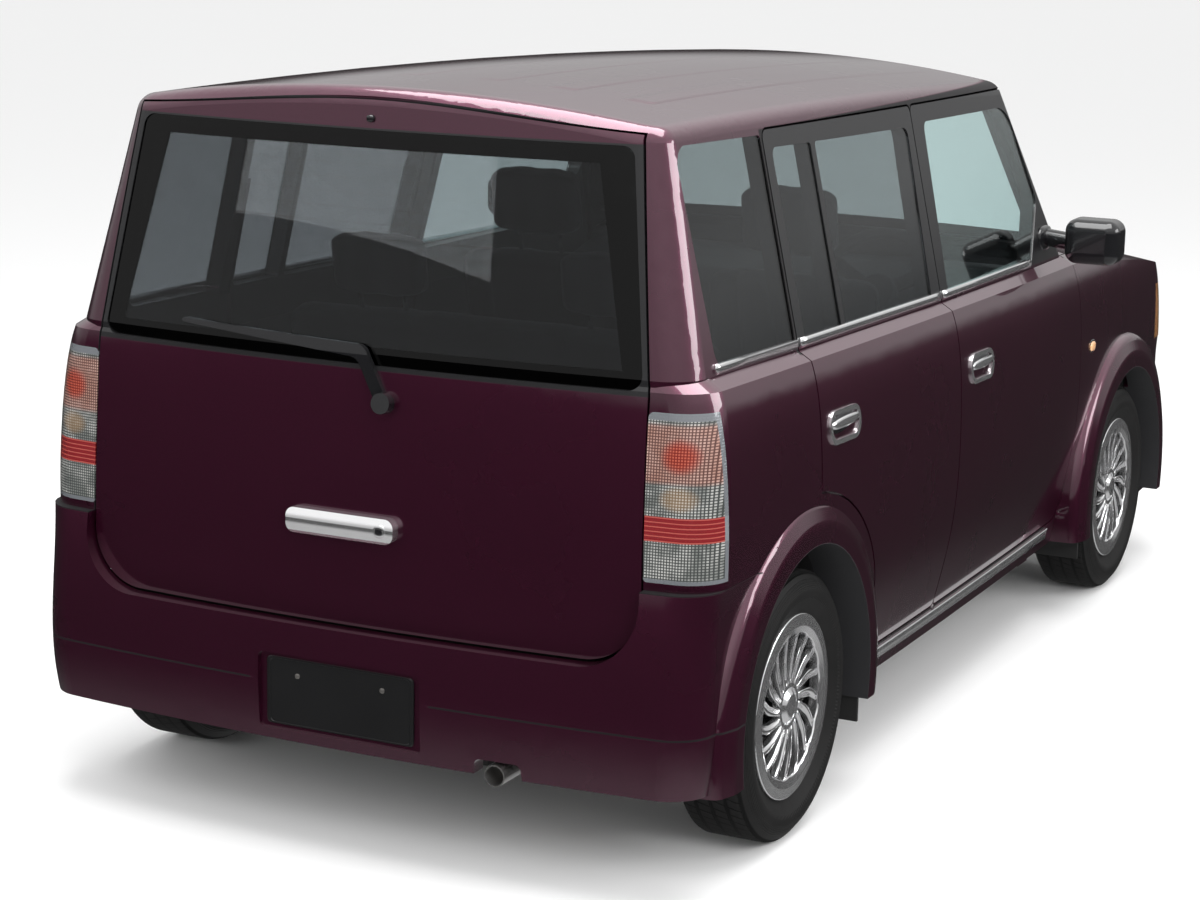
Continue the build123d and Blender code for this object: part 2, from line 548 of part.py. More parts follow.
def floor_pan():
    """The stepped floor with tunnel, bulkhead, wheel houses, strut towers and the luggage sill."""
    top = [(BULKHEAD_Y + 1, FLOOR_Z), (540, FLOOR_Z), (600, SEAT_STEP_Z), (1030, SEAT_STEP_Z), (1080, LUGGAGE_Z),
           (1860, LUGGAGE_Z)]
    under = [(y, z - FLOOR_THICK) for y, z in reversed(top)]
    profile = rounded([(y, z, 0) for y, z in top + under])
    room = CABIN & block(-FAR, FAR, BULKHEAD_Y, FAR, 0, 1000)
    floor = (side_prism(profile, -800, 800) & room) - WELLS
    tunnel = block(-105, 105, BULKHEAD_Y + 1, 590, FLOOR_Z - 4, FLOOR_Z + 70)
    tunnel = fillet(tunnel.edges().filter_by(Axis.Y).group_by(Axis.Z)[-1], 30)
    tunnel -= block(-75, 75, BULKHEAD_Y - 50, 620, 0, FLOOR_Z + 40)
    floor = (floor - block(-75, 75, BULKHEAD_Y - 50, 620, 0, FLOOR_Z + 40)) + tunnel
    wall = (SHELL & BULKHEAD_ZONE) - block(-75, 75, BULKHEAD_Y - 50, 620, 0, FLOOR_Z + 40)
    houses = []
    for axle, inner, space in ((FRONT_AXLE, FRONT_WELL_X, BAY), (REAR_AXLE, REAR_WELL_X, CABIN)):
        for side in (1, -1):
            outside = round_bar(side * (inner - 8 + 900) / 2, axle, TYRE_RADIUS, ARCH_RADIUS + 8, 900 - inner + 8)
            house = (outside - wheel_well(axle, inner, side)) & space & lower_core(BUMPER_WALL + 8)
            house -= block(-inner - 1, inner + 1, axle - HOUSE_MOUTH, axle + HOUSE_MOUTH, 0, HOUSE_FOOT_Z)
            house &= block(-FAR, FAR, -FAR, FAR, SKIRT_Z, FAR)
            houses.append(house)
    towers = [strut_tower(), mirrored(strut_tower())]
    ears = [
        block(s * x - 3, s * x + 3, REAR_AXLE - 435, REAR_AXLE - 375, 285, 370)
        for s in (1, -1) for x in (BUSH_X - BUSH_LENGTH / 2 - 3, BUSH_X + BUSH_LENGTH / 2 + 3)
    ]
    rear_panel = lower_core(BUMPER_WALL + 4) & block(-FAR, FAR, 1700, FAR, SKIRT_Z, TAILGATE_FOOT_Z - 15)
    rear_panel -= CABIN
    rear_panel -= block(TIP_X - 60, TIP_X + 60, 1600, FAR, 0, TIP_Z + 50)
    holes = [strut_bore(), mirrored(strut_bore())]
    holes += [round_bar(s * BUSH_X, REAR_AXLE - 405, 310, BUSH_RADIUS + 3, BUSH_LENGTH) for s in (1, -1)]
    return (floor + wall + houses + rear_panel + ears - holes) + towers


def grille():
    """The slim grille between the lamps: a frame with five bars over a closed back."""
    slab = (NOSE_BLOCK - lower_core(60)) & GRILLE_ZONE
    inner = rear_prism(offset(GRILLE_LINE, -14), -FAR, -1590)
    recess = (slab & inner) - lower_core(35)
    bars = []
    pitch = (HEAD_LAMP_HIGH_Z - HEAD_LAMP_LOW_Z - 28) / 6
    for row in range(1, 6):
        z = HEAD_LAMP_LOW_Z + 14 + row * pitch
        bars.append(recess & block(-FAR, FAR, -FAR, 0, z - 6, z + 6))
    return (slab - recess) + bars


parts["side_frame_left"] = SIDE_FRAME
parts["side_frame_right"] = mirrored(SIDE_FRAME)
parts["roof_panel"] = ROOF
parts["cowl_panel"] = COWL
parts["windscreen"] = GLASS_SHELL & WINDSCREEN_ZONE
QUARTER_GLASS = side_glass([QUARTER_WINDOW])
parts["quarter_glass"] = Part() + [QUARTER_GLASS, mirrored(QUARTER_GLASS)]
parts["fender_left"] = FENDER
parts["fender_right"] = mirrored(FENDER)
parts["front_bumper"] = front_bumper()
parts["rear_bumper"] = rear_bumper()
FLOOR = floor_pan()
parts["bulkhead"] = FLOOR & block(-FAR, FAR, -FAR, BULKHEAD_Y + 30, 0, FAR)
parts["floor_pan"] = FLOOR & block(-FAR, FAR, BULKHEAD_Y + 30, REAR_FLOOR_Y, 0, FAR)
parts["rear_floor"] = FLOOR & block(-FAR, FAR, REAR_FLOOR_Y, FAR, 0, FAR)
parts["grille"] = grille()
parts["front_lamps"] = Part() + [FRONT_LAMP, mirrored(FRONT_LAMP)]
parts["tail_lamps"] = Part() + [TAIL_LAMP, mirrored(TAIL_LAMP)]
parts["bonnet"] = BONNET
parts["tailgate"] = (SHELL & TAILGATE_ZONE) - rear_prism(REAR_GLASS_LINE, 1500, FAR)
parts["tailgate_glass"] = GLASS_SHELL & rear_prism(REAR_GLASS_LINE, 1500, FAR)
for side, flip in (("left", lambda shape: shape), ("right", mirrored)):
    parts["door_front_" + side] = flip(FRONT_DOOR)
    parts["door_front_glass_" + side] = flip(side_glass([FRONT_WINDOW]))
    parts["door_rear_" + side] = flip(REAR_DOOR)
    parts["door_rear_glass_" + side] = flip(side_glass([REAR_WINDOW, REAR_VENT]))

# ---------------------------------------------------------------- wheels and running gear
SPOKES = 17
COVER_X = 80.0
HUB_FACE = 22.0
def turned(profile):
    """A profile drawn as (radius, outward distance), revolved about the left wheel's own axle line."""
    return Rot(0, 90, 0) * revolve(Plane.XZ.location * profile, Axis.Z, 360)


def tyre():
    """A radial tyre with rounded shoulders and a bulging side wall."""
    half = TYRE_WIDTH / 2
    seat = RIM_RADIUS - 4
    profile = rounded([
        (seat, -RIM_HALF, 3), (FLANGE_RADIUS, -RIM_HALF, 5), (seat + 64, -half, 36), (TYRE_RADIUS - 26, -half + 6, 20), (TYRE_RADIUS, -half + 26, 14),
        (TYRE_RADIUS, half - 26, 14), (TYRE_RADIUS - 26, half - 6, 20), (seat + 64, half, 36), (FLANGE_RADIUS, RIM_HALF, 5), (seat, RIM_HALF, 3),
    ])
    return turned(profile)


def wheel():
    """A steel rim with its disc and a bright cover whose blades swirl from the cap to the outer ring."""
    lip = RIM_HALF + SEAT_FIT
    bed = RIM_RADIUS - 4 - SEAT_FIT
    barrel = rounded([
        (bed - 14, -lip - 6, 0), (FLANGE_RADIUS - 2, -lip - 6, 2), (FLANGE_RADIUS - 2, -lip, 0), (bed, -lip, 0),
        (bed, lip, 0), (bed - 12, lip, 0),
    ])
    disc = rounded([
        (0, HUB_FACE, 0), (0, HUB_FACE + 8, 0), (95, HUB_FACE + 8, 10), (130, HUB_FACE + 26, 20),
        (bed - 8, HUB_FACE + 14, 0), (bed - 8, HUB_FACE + 4, 0), (130, HUB_FACE + 16, 20), (95, HUB_FACE, 10),
    ])
    ring = rounded([
        (bed - 24, 50, 0), (bed - 24, 74, 5), (bed - 6, COVER_X, 8), (FLANGE_RADIUS - 1, COVER_X - 3, 3),
        (FLANGE_RADIUS - 1, lip, 0), (bed - 4, lip, 0), (bed - 4, 50, 0),
    ])
    cap = rounded([(0, HUB_FACE + 8, 0), (0, 76, 0), (26, 75, 12), (44, 62, 8), (52, 50, 6), (52, HUB_FACE + 8, 0)])
    blade = Plane(origin=(0, 0, 56), z_dir=(0, 0, 1)).location * rounded([
        (42, -9, 3), (120, 22, 60), (bed - 16, 76, 3), (bed - 20, 92, 3), (110, 40, 60), (42, 8, 3),
    ])
    blade = extrude(blade, amount=12) & (Cylinder(bed - 15, 300))
    blades = [Rot(0, 90, 0) * Rot(0, 0, 360 / SPOKES * k) * blade for k in range(SPOKES)]
    return turned(barrel) + turned(disc) + turned(ring) + turned(cap) + blades


def knuckle():
    """The left front hub carrier with its spindle, steering arm and the strut's lower tube."""
    spindle = round_bar(WHEEL_X - 34, FRONT_AXLE, TYRE_RADIUS, 52, 2 * (HUB_FACE + 34 - LINK_FIT))
    spindle = spindle & block(WHEEL_X - 70, WHEEL_X + HUB_FACE - LINK_FIT, -FAR, FAR, 0, FAR)
    carrier = tube_between(tuple(kingpin_point(213.2)), tuple(kingpin_point(400)), 30)
    strut = tube_between(tuple(kingpin_point(390)), tuple(kingpin_point(STRUT_JOINT_Z)), 24)
    arm = tube_between(tuple(kingpin_point(270)), (600, FRONT_AXLE + 115, 262), 13)
    brake = round_bar(WHEEL_X - 20, FRONT_AXLE, TYRE_RADIUS, 128, 16)
    return spindle + carrier + strut + arm + brake


def front_subframe():
    """Cross-member, lower arms, steering rack and, above each knuckle, the spring and its top mount."""
    beam = block(-330, 330, FRONT_AXLE + 60, FRONT_AXLE + 200, 205, 255)
    beam = fillet(beam.edges().filter_by(Axis.X), 15)
    rails = [block(s * 300 - 30, s * 300 + 30, FRONT_AXLE - 520, BULKHEAD_Y, 214, 262) for s in (1, -1)]
    rails += [block(s * 300 - 25, s * 300 + 25, y - 30, y + 30, 262, ENGINE_FOOT_Z)
              for s in (1, -1) for y in (FRONT_AXLE - 340, FRONT_AXLE - 60)]
    pieces = [beam, *rails, block(-330, 330, FRONT_AXLE - 560, FRONT_AXLE - 500, 214, 262)]
    rack = round_bar(0, FRONT_AXLE + 150, 275, 24, 700)
    pieces.append(rack)
    for side in (1, -1):
        foot = kingpin_point(190)
        arm = rounded([
            (foot.X + 12, FRONT_AXLE - 24, 12), (foot.X + 12, FRONT_AXLE + 24, 12), (310, FRONT_AXLE + 130, 20),
            (310, FRONT_AXLE - 70, 20),
        ])
        arm = plan_prism(arm, 186, 208)
        arm += round_bar(320, FRONT_AXLE + 30, 206, 22, 190, "Y")
        arm += tube_between((340, FRONT_AXLE + 150, 275), (490, FRONT_AXLE + 137, 264), 10)
        rod = tube_between(tuple(kingpin_point(STRUT_JOINT_Z + LINK_FIT)), tuple(kingpin_point(TOWER_Z)), 12)
        coil = tube_between(tuple(kingpin_point(SPRING_FOOT_Z)), tuple(kingpin_point(820)), 58)
        top = tube_between(tuple(kingpin_point(820)), tuple(kingpin_point(TOWER_Z)), 80)
        strut = rod + coil + top
        pieces += [arm, strut] if side > 0 else [mirrored(arm), mirrored(strut)]
    return Part() + pieces


def rear_axle():
    """A twist beam with two trailing arms, stub axles, brake drums, springs and dampers."""
    beam = rounded([(REAR_AXLE - 175, 246, 8), (REAR_AXLE - 105, 246, 8), (REAR_AXLE - 105, 316, 8), (REAR_AXLE - 175, 316, 8)])
    pieces = [side_prism(beam, -560, 560)]
    for side in (1, -1):
        arm = rounded([
            (REAR_AXLE - 430, 285, 20), (REAR_AXLE - 150, 245, 40), (REAR_AXLE + 60, 270, 20), (REAR_AXLE + 60, 330, 20),
            (REAR_AXLE - 150, 318, 40), (REAR_AXLE - 430, 335, 20),
        ])
        arm = side_prism(arm, 505, 560)
        arm += round_bar(BUSH_X, REAR_AXLE - 405, 310, BUSH_RADIUS, BUSH_LENGTH)
        arm += round_bar(590, REAR_AXLE, TYRE_RADIUS, 30, 120)
        drum = round_bar(WHEEL_X - 44, REAR_AXLE, TYRE_RADIUS, 118, 70)
        hub = round_bar(WHEEL_X, REAR_AXLE, TYRE_RADIUS, 52, 2 * (HUB_FACE - LINK_FIT))
        spring_top = LUGGAGE_Z - FLOOR_THICK
        spring = round_bar(480, REAR_AXLE - 90, (310 + spring_top) / 2, 50, spring_top - 310, "Z")
        damper = tube_between((520, REAR_AXLE + 40, 300), (500, REAR_AXLE + 70, 481.6), 22)
        arm = arm + drum + hub + spring + damper
        pieces.append(arm if side > 0 else mirrored(arm))
    return Part() + pieces


def engine():
    """Engine and gearbox as one plain block."""
    body = block(-330, 330, FRONT_AXLE - 420, FRONT_AXLE + 20, ENGINE_FOOT_Z, 860)
    return fillet(body.edges(), 25)


def radiator():
    """The radiator core with its two fan shrouds, seen through the lower intake."""
    core = block(-340, 340, FRONT_AXLE - 545, FRONT_AXLE - 510, 262, 720)
    shroud = block(-320, 320, FRONT_AXLE - 510, FRONT_AXLE - 470, 300, 700)
    return core + fillet(shroud.edges().filter_by(Axis.Y), 40)


def exhaust():
    """Front pipe, centre silencer, tail silencer and a bare tip under the right-hand rear corner."""
    route = [(0, FRONT_AXLE + 260, 235), (0, 640, 235), (-120, 860, 190), (-120, 1010, 190)]
    pipe = [tube_between(route[0], route[1], 24), Pos(*route[1]) * Sphere(24), tube_between(route[1], route[2], 24)]
    pipe += [Pos(*route[2]) * Sphere(24), tube_between(route[2], (TIP_X, 1480, 200), 24)]
    silencer = plan_prism(rounded([(-520, 1470, 60), (-225, 1470, 60), (-225, 1680, 60), (-520, 1680, 60)]), 185, 345)
    silencer = fillet(silencer.edges().group_by(Axis.Z)[0], 30)
    tip = tube_between((TIP_X, 1670, TIP_Z), (TIP_X, TAIL - 16, TIP_Z), TIP_RADIUS)
    tip -= tube_between((TIP_X, TAIL - 120, TIP_Z), (TIP_X, TAIL, TIP_Z), TIP_RADIUS - 3)
    hangers = [round_bar(TIP_X, 1575, (340 + LUGGAGE_Z - FLOOR_THICK) / 2, 8, LUGGAGE_Z - FLOOR_THICK - 340, "Z")]
    hangers.append(round_bar(0, 0, (255 + FLOOR_Z + 40) / 2, 8, FLOOR_Z + 40 - 255, "Z"))
    return Part() + [*pipe, silencer, tip, *hangers]


def fuel_tank():
    """A flat tank under the rear seat."""
    body = block(60, 470, 610, 930, 236, SEAT_STEP_Z - FLOOR_THICK)
    return fillet(body.edges(), 28)


# ---------------------------------------------------------------- cabin
SEAT_X = 355.0
DRIVER_X = -355.0


def slab_between(corners, x0, x1, edge):
    """A soft block with a side-view outline and rounded long edges."""
    body = side_prism(rounded(corners), x0, x1)
    return fillet(body.edges().filter_by(Plane.YZ), edge)


def front_seat(middle):
    """One front seat: runners, cushion, backrest and a headrest on two posts."""
    runners = [block(middle + s * 190 - 18, middle + s * 190 + 18, -330, 110, FLOOR_Z, 400) for s in (1, -1)]
    cushion = slab_between([(-390, 400, 40), (130, 400, 40), (130, 545, 40), (-390, 570, 60)], middle - 245, middle + 245, 28)
    back = slab_between([(110, 440, 40), (230, 430, 40), (372, 1085, 50), (262, 1110, 50)], middle - 235, middle + 235, 28)
    rest = slab_between([(285, 1150, 30), (375, 1140, 30), (405, 1310, 34), (318, 1325, 34)], middle - 130, middle + 130, 20)
    posts = [tube_between((middle + s * 60, 305, 1070), (middle + s * 60, 345, 1200), 7) for s in (1, -1)]
    return Part() + [*runners, cushion, back, rest, *posts]


def rear_seat():
    """The rear bench with two headrests."""
    base = block(-560, 560, 620, 1000, SEAT_STEP_Z, 432)
    cushion = slab_between([(555, 432, 40), (1024, 432, 30), (1024, 560, 30), (555, 592, 60)], -566, 566, 28)
    back = slab_between([(1082, LUGGAGE_Z, 30), (1176, LUGGAGE_Z, 30), (1268, 1060, 40), (1170, 1085, 40)], -566, 566, 24)
    pieces = [base, cushion, back]
    for middle in (-300, 300):
        pieces.append(slab_between([(1182, 1110, 26), (1262, 1100, 26), (1286, 1245, 30), (1204, 1255, 30)], middle - 125, middle + 125, 18))
        pieces += [tube_between((middle + s * 60, 1205, 1040), (middle + s * 60, 1234, 1160), 7) for s in (1, -1)]
    return Part() + pieces


def dashboard():
    """The dashboard with a raised instrument hood, a centre console and the steering column."""
    body = slab_between([
        (BULKHEAD_Y + 30, 640, 0), (-560, 620, 30), (-440, 760, 60), (-470, 960, 60), (-640, 1000, 60), (BULKHEAD_Y + 30, 990, 0),
    ], -690, 690, 20)
    console = block(-130, 130, BULKHEAD_Y + 31, -430, FLOOR_Z + 70, 760)
    console = fillet(console.edges().filter_by(Axis.Z), 30)
    column = tube_between(tuple(Vector(*WHEEL_CENTRE) - COLUMN_AXIS * 330), COLUMN_END, 32)
    return body + console + column


COLUMN_TILT = 28.0
WHEEL_CENTRE = (DRIVER_X, -300.0, 960.0)
COLUMN_AXIS = Vector(0, cos(radians(COLUMN_TILT)), sin(radians(COLUMN_TILT)))
COLUMN_END = tuple(Vector(*WHEEL_CENTRE) - COLUMN_AXIS * 60)


def steering_wheel():
    """A three-spoke steering wheel with a padded hub, square to its tilted column."""
    rim = Torus(178, 15)
    hub = fillet(Cylinder(58, 44).edges(), 12)
    spokes = [Rot(0, 0, angle) * block(40, 175, -18, 18, -8, 8) for angle in (90, 210, 330)]
    stub = Pos(0, 0, -40) * Cylinder(22, 39)
    whole = rim + hub + spokes + stub
    plane = Plane(origin=WHEEL_CENTRE, x_dir=(1, 0, 0), z_dir=COLUMN_AXIS)
    return plane.location * whole


# ---------------------------------------------------------------- fittings
def door_handle(y, z):
    """A pull flap across a recessed cup."""
    surround = side_prism(rounded([(y - 88, z - 38, 34), (y + 88, z - 34, 34), (y + 88, z + 42, 34), (y - 88, z + 38, 34)]), 300, FAR)
    inner = side_prism(rounded([(y - 76, z - 27, 25), (y + 76, z - 23, 25), (y + 76, z + 31, 25), (y - 76, z + 27, 25)]), 300, FAR)
    near = block(700, FAR, y - 100, y + 100, z - 60, z + 60)
    ring = (surround - inner) & ((lower_core(-5) & near) - lower_core(0))
    flap = side_prism(rounded([(y - 76, z - 4, 6), (y + 84, z - 2, 14), (y + 84, z + 24, 14), (y - 76, z + 20, 6)]), 300, FAR)
    flap &= (lower_core(-9) & near) - lower_core(0)
    return ring + flap


def mirror_head():
    """The left door mirror: a rounded housing on a stalk that leaves the corner of the window."""
    shell = block(815, 966, -590, -478, 1060, 1182)
    shell = fillet(shell.edges(), 34)
    stalk = tube_between((752, -556, 1118), (845, -545, 1110), 24)
    stalk -= OUTER
    return shell + stalk


def tailgate_handle():
    """The wide grab bar above the number plate."""
    line = rounded([(-124, 700, 20), (139, 700, 20), (139, 754, 20), (-124, 754, 20)])
    return (rear_prism(line, 1700, FAR) & lower_core(-22)) - lower_core(0)


def rear_wiper():
    """The rear wiper: its boss, a bent arm and the blade, which lie on the glass."""
    boss = tube_between((-85, 1825, 988), (-85, 1880, 996), 22) - OUTER
    surface = cabin_volume(-16) - cabin_volume(-4)
    rubber = rear_prism(rounded([(0, 1094, 3), (428, 1120, 3), (428, 1126, 3), (0, 1102, 3)]), 1600, FAR)
    rubber &= cabin_volume(-6) - cabin_volume(GLASS_SET_IN - SEAT_FIT)
    arm = rear_prism(rounded([(-100, 985, 8), (-68, 985, 8), (-20, 1085, 30), (430, 1118, 3), (430, 1126, 3), (-36, 1112, 30)]), 1600, FAR)
    arm = (arm & surface) - OUTER
    return boss + arm + rubber


def sill_moulding():
    """The bright strip along the left sill."""
    line = rounded([(-590, 266, 4), (800, 266, 4), (800, SILL_Z - DOOR_GAP, 4), (-590, SILL_Z - DOOR_GAP, 4)])
    return (side_prism(line, 300, FAR) & lower_core(-14)) - lower_core(0)


def mud_flap(axle_y, behind, width):
    """A flat flap that hangs behind or ahead of a wheel."""
    y = axle_y + behind
    return block(FLARE_HALF - 30 - width, FLARE_HALF - 30, y - 4, y + 4, 165, SKIRT_Z)


WHEEL_PLACES = (("front_left", FRONT_AXLE, 1), ("front_right", FRONT_AXLE, -1), ("rear_left", REAR_AXLE, 1), ("rear_right", REAR_AXLE, -1))
TYRE = tyre()
WHEEL = wheel()
for place, axle, side in WHEEL_PLACES:
    for kind, shape in (("tyre_", TYRE), ("wheel_", WHEEL)):
        placed = Pos(WHEEL_X, axle, TYRE_RADIUS) * shape
        parts[kind + place] = placed if side > 0 else mirrored(placed)
KNUCKLE = knuckle()
parts["knuckle_left"] = KNUCKLE
parts["knuckle_right"] = mirrored(KNUCKLE)
parts["front_subframe"] = front_subframe()
parts["rear_axle"] = rear_axle()
parts["engine"] = engine()
parts["radiator"] = radiator()
parts["exhaust"] = exhaust()
parts["fuel_tank"] = fuel_tank()
parts["seat_front_left"] = front_seat(SEAT_X)
parts["seat_front_right"] = front_seat(-SEAT_X)
parts["seat_rear"] = rear_seat()
parts["dashboard"] = dashboard()
parts["steering_wheel"] = steering_wheel()
for side, flip in (("left", lambda shape: shape), ("right", mirrored)):
    parts["door_front_handle_" + side] = flip(door_handle(205, 886))
    parts["door_rear_handle_" + side] = flip(door_handle(1134, 900))
    parts["mirror_" + side] = flip(mirror_head())
parts["tailgate_handle"] = tailgate_handle()
parts["rear_wiper"] = rear_wiper()
SILL = sill_moulding()
parts["sill_mouldings"] = Part() + [SILL, mirrored(SILL)]
FLAPS = [mud_flap(FRONT_AXLE, ARCH_RADIUS + 10, 150), mud_flap(REAR_AXLE, -ARCH_RADIUS - 10, 150)]
parts["mud_flaps"] = Part() + FLAPS + [mirrored(flap) for flap in FLAPS]
write_parts()
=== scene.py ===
"""Looks of the compact minivan: materials, trim, padded seats, floor, light and camera."""

import math

import bmesh
import bpy
from mathutils import Matrix, Vector
from mathutils.bvhtree import BVHTree


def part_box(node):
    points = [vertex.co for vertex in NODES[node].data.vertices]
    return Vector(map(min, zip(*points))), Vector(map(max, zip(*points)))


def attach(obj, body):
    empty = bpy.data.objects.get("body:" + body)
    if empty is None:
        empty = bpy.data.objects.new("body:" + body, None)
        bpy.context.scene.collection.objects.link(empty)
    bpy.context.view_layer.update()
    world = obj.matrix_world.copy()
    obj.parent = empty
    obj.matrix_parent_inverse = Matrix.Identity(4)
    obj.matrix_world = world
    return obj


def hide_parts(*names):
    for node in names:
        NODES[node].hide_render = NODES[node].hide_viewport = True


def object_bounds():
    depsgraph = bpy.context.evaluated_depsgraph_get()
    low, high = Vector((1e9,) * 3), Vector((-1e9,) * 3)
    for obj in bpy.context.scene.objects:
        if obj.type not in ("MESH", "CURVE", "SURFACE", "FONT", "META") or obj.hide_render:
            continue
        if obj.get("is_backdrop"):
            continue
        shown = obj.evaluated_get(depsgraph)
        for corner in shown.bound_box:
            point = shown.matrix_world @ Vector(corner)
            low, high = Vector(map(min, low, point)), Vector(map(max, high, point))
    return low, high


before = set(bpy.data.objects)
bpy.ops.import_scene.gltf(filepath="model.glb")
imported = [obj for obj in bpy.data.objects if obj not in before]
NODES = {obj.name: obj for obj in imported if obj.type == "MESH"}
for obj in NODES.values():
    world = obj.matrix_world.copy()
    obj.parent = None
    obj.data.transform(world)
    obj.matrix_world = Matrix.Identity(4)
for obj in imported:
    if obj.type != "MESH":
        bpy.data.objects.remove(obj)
CAD_LOW, CAD_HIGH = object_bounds()

# The belt line climbs gently to the rear.
BELT_Z = 1.061
BELT_SLOPE = math.tan(math.radians(0.95))
AXLES = {"front": -1.1761, "rear": 1.3239}
HUB_HEIGHT = 0.3015
ARCH_RADIUS = 0.366
SIDES = (("left", 1), ("right", -1))


# ---------------------------------------------------------------- shader helpers
class Graph:
    """Short calls that add nodes to one node tree and link them."""

    def __init__(self, tree):
        self.tree = tree
        self.coords = None

    def put(self, socket, value):
        if isinstance(value, bpy.types.NodeSocket):
            self.tree.links.new(value, socket)
        else:
            socket.default_value = value

    def add(self, kind, inputs=None, **settings):
        node = self.tree.nodes.new(kind)
        for key, value in settings.items():
            setattr(node, key, value)
        for key, value in (inputs or {}).items():
            self.put(node.inputs[key], value)
        return node

    def math(self, operation, *values):
        node = self.add("ShaderNodeMath", operation=operation)
        for slot, value in zip(node.inputs, values):
            self.put(slot, value)
        return node.outputs[0]

    def times(self, one, two):
        return self.math("MULTIPLY", one, two)

    def plus(self, one, two):
        return self.math("ADD", one, two)

    def minus(self, one, two):
        return self.math("SUBTRACT", one, two)

    def either(self, one, two):
        return self.math("MAXIMUM", one, two)

    def away(self, value):
        return self.math("ABSOLUTE", value)

    def flip(self, mask):
        """1 where the mask is 0, and the other way round."""
        return self.minus(1.0, mask)

    def reach(self, one, two):
        """The distance from a centre, from its two legs."""
        return self.math("SQRT", self.plus(self.times(one, one), self.times(two, two)))

    def wave(self, value, pitch):
        """A sine wave that repeats every pitch metres."""
        return self.math("SINE", self.times(value, 2 * math.pi / pitch))

    def step(self, value, low, high):
        """0 below low, 1 above high, smooth between them."""
        node = self.add("ShaderNodeMapRange", interpolation_type="SMOOTHSTEP")
        self.put(node.inputs["Value"], value)
        node.inputs["From Min"].default_value = low
        node.inputs["From Max"].default_value = high
        return node.outputs["Result"]

    def band(self, value, low, high, soft):
        """1 between low and high, 0 outside them."""
        return self.times(self.step(value, low - soft, low + soft),
                         self.flip(self.step(value, high - soft, high + soft)))

    def mix(self, factor, first, second):
        node = self.add("ShaderNodeMix", data_type="RGBA")
        self.put(node.inputs[0], factor)
        self.put(node.inputs[6], first)
        self.put(node.inputs[7], second)
        return node.outputs[2]

    def blend(self, factor, first, second):
        node = self.add("ShaderNodeMix", data_type="FLOAT")
        self.put(node.inputs[0], factor)
        self.put(node.inputs[2], first)
        self.put(node.inputs[3], second)
        return node.outputs[0]

    def where(self):
        """The object position and its x, y and z."""
        if self.coords is None:
            source = self.add("ShaderNodeTexCoord")
            split = self.add("ShaderNodeSeparateXYZ", {0: source.outputs["Object"]})
            normal = self.add("ShaderNodeSeparateXYZ", {0: source.outputs["Normal"]})
            self.coords = (source.outputs["Object"], *split.outputs, *normal.outputs)
        return self.coords

    def noise(self, scale, detail=3.0, roughness=0.55):
        node = self.add("ShaderNodeTexNoise", {"Vector": self.where()[0], "Scale": scale, "Detail": detail,
                                               "Roughness": roughness})
        return node.outputs["Fac"]

    def bump(self, height, strength, distance, normal=None):
        node = self.add("ShaderNodeBump", {"Height": height, "Strength": strength, "Distance": distance})
        if normal is not None:
            self.put(node.inputs["Normal"], normal)
        return node.outputs["Normal"]


def rgb(red, green, blue):
    return (red, green, blue, 1.0)


def group(name, inputs, outputs):
    """An empty node group with the named sockets, and the graph inside it."""
    tree = bpy.data.node_groups.new(name, "ShaderNodeTree")
    for label, kind, start in inputs:
        socket = tree.interface.new_socket(label, in_out="INPUT", socket_type="NodeSocket" + kind)
        if start is not None:
            socket.default_value = start
    for label, kind in outputs:
        tree.interface.new_socket(label, in_out="OUTPUT", socket_type="NodeSocket" + kind)
    graph = Graph(tree)
    return tree, graph, graph.add("NodeGroupInput").outputs, graph.add("NodeGroupOutput").inputs


def material(name):
    made = bpy.data.materials.new(name)
    made.use_nodes = True
    graph = Graph(made.node_tree)
    return made, graph, made.node_tree.nodes["Principled BSDF"]


def use(graph, tree, inputs):
    return graph.add("ShaderNodeGroup", inputs, node_tree=tree).outputs


# ---------------------------------------------------------------- shared effects
GRAIN, g, gin, gout = group(
    "Grain",
    [("Scale", "Float", 300.0), ("Strength", "Float", 0.2), ("Wear", "Float", 0.1)],
    [("Shade", "Float"), ("Normal", "Vector")])
fine = g.add("ShaderNodeTexVoronoi", {"Vector": g.where()[0], "Scale": gin["Scale"]}).outputs["Distance"]
cloud = g.noise(7.0, 4.0)
g.put(gout["Shade"], g.plus(g.times(g.minus(cloud, 0.5), gin["Wear"]), 1.0))
g.put(gout["Normal"], g.bump(g.plus(fine, g.times(cloud, 0.2)), gin["Strength"], 0.0005))

PAINT, g, gin, gout = group(
    "PaintLayers",
    [("Inside", "Float", 0.0), ("Black", "Float", 0.0), ("Seam", "Float", 0.0), ("Height", "Float", 0.0)],
    [("Color", "Color"), ("Metallic", "Float"), ("Roughness", "Float"), ("Coat", "Float"),
     ("Normal", "Vector")])
_, _, along, high, *_ = g.where()
inside = gin["Inside"]
for axle in AXLES.values():
    fore = g.minus(along, axle)
    lift = g.minus(high, HUB_HEIGHT)
    reach = g.reach(fore, lift)
    inside = g.either(inside, g.flip(g.step(reach, ARCH_RADIUS - 0.0005, ARCH_RADIUS + 0.0005)))
flake = g.add("ShaderNodeTexVoronoi", {"Vector": g.where()[0], "Scale": 2600.0})
flake_tone = g.add("ShaderNodeSeparateXYZ", {0: flake.outputs["Color"]}).outputs[0]
dust = g.noise(2.4, 5.0)
# Painted highlight: the more a face points up, the lighter its maroon, as if lit from above.
up = g.step(g.where()[6], -0.2, 1.0)
body = g.mix(flake_tone, rgb(0.045, 0.0035, 0.018), rgb(0.086, 0.009, 0.037))
body = g.mix(g.times(dust, 0.04), body, rgb(0.12, 0.04, 0.065))
body = g.mix(g.times(up, 0.30), body, rgb(0.20, 0.05, 0.095))
body = g.mix(gin["Black"], body, rgb(0.010, 0.010, 0.011))
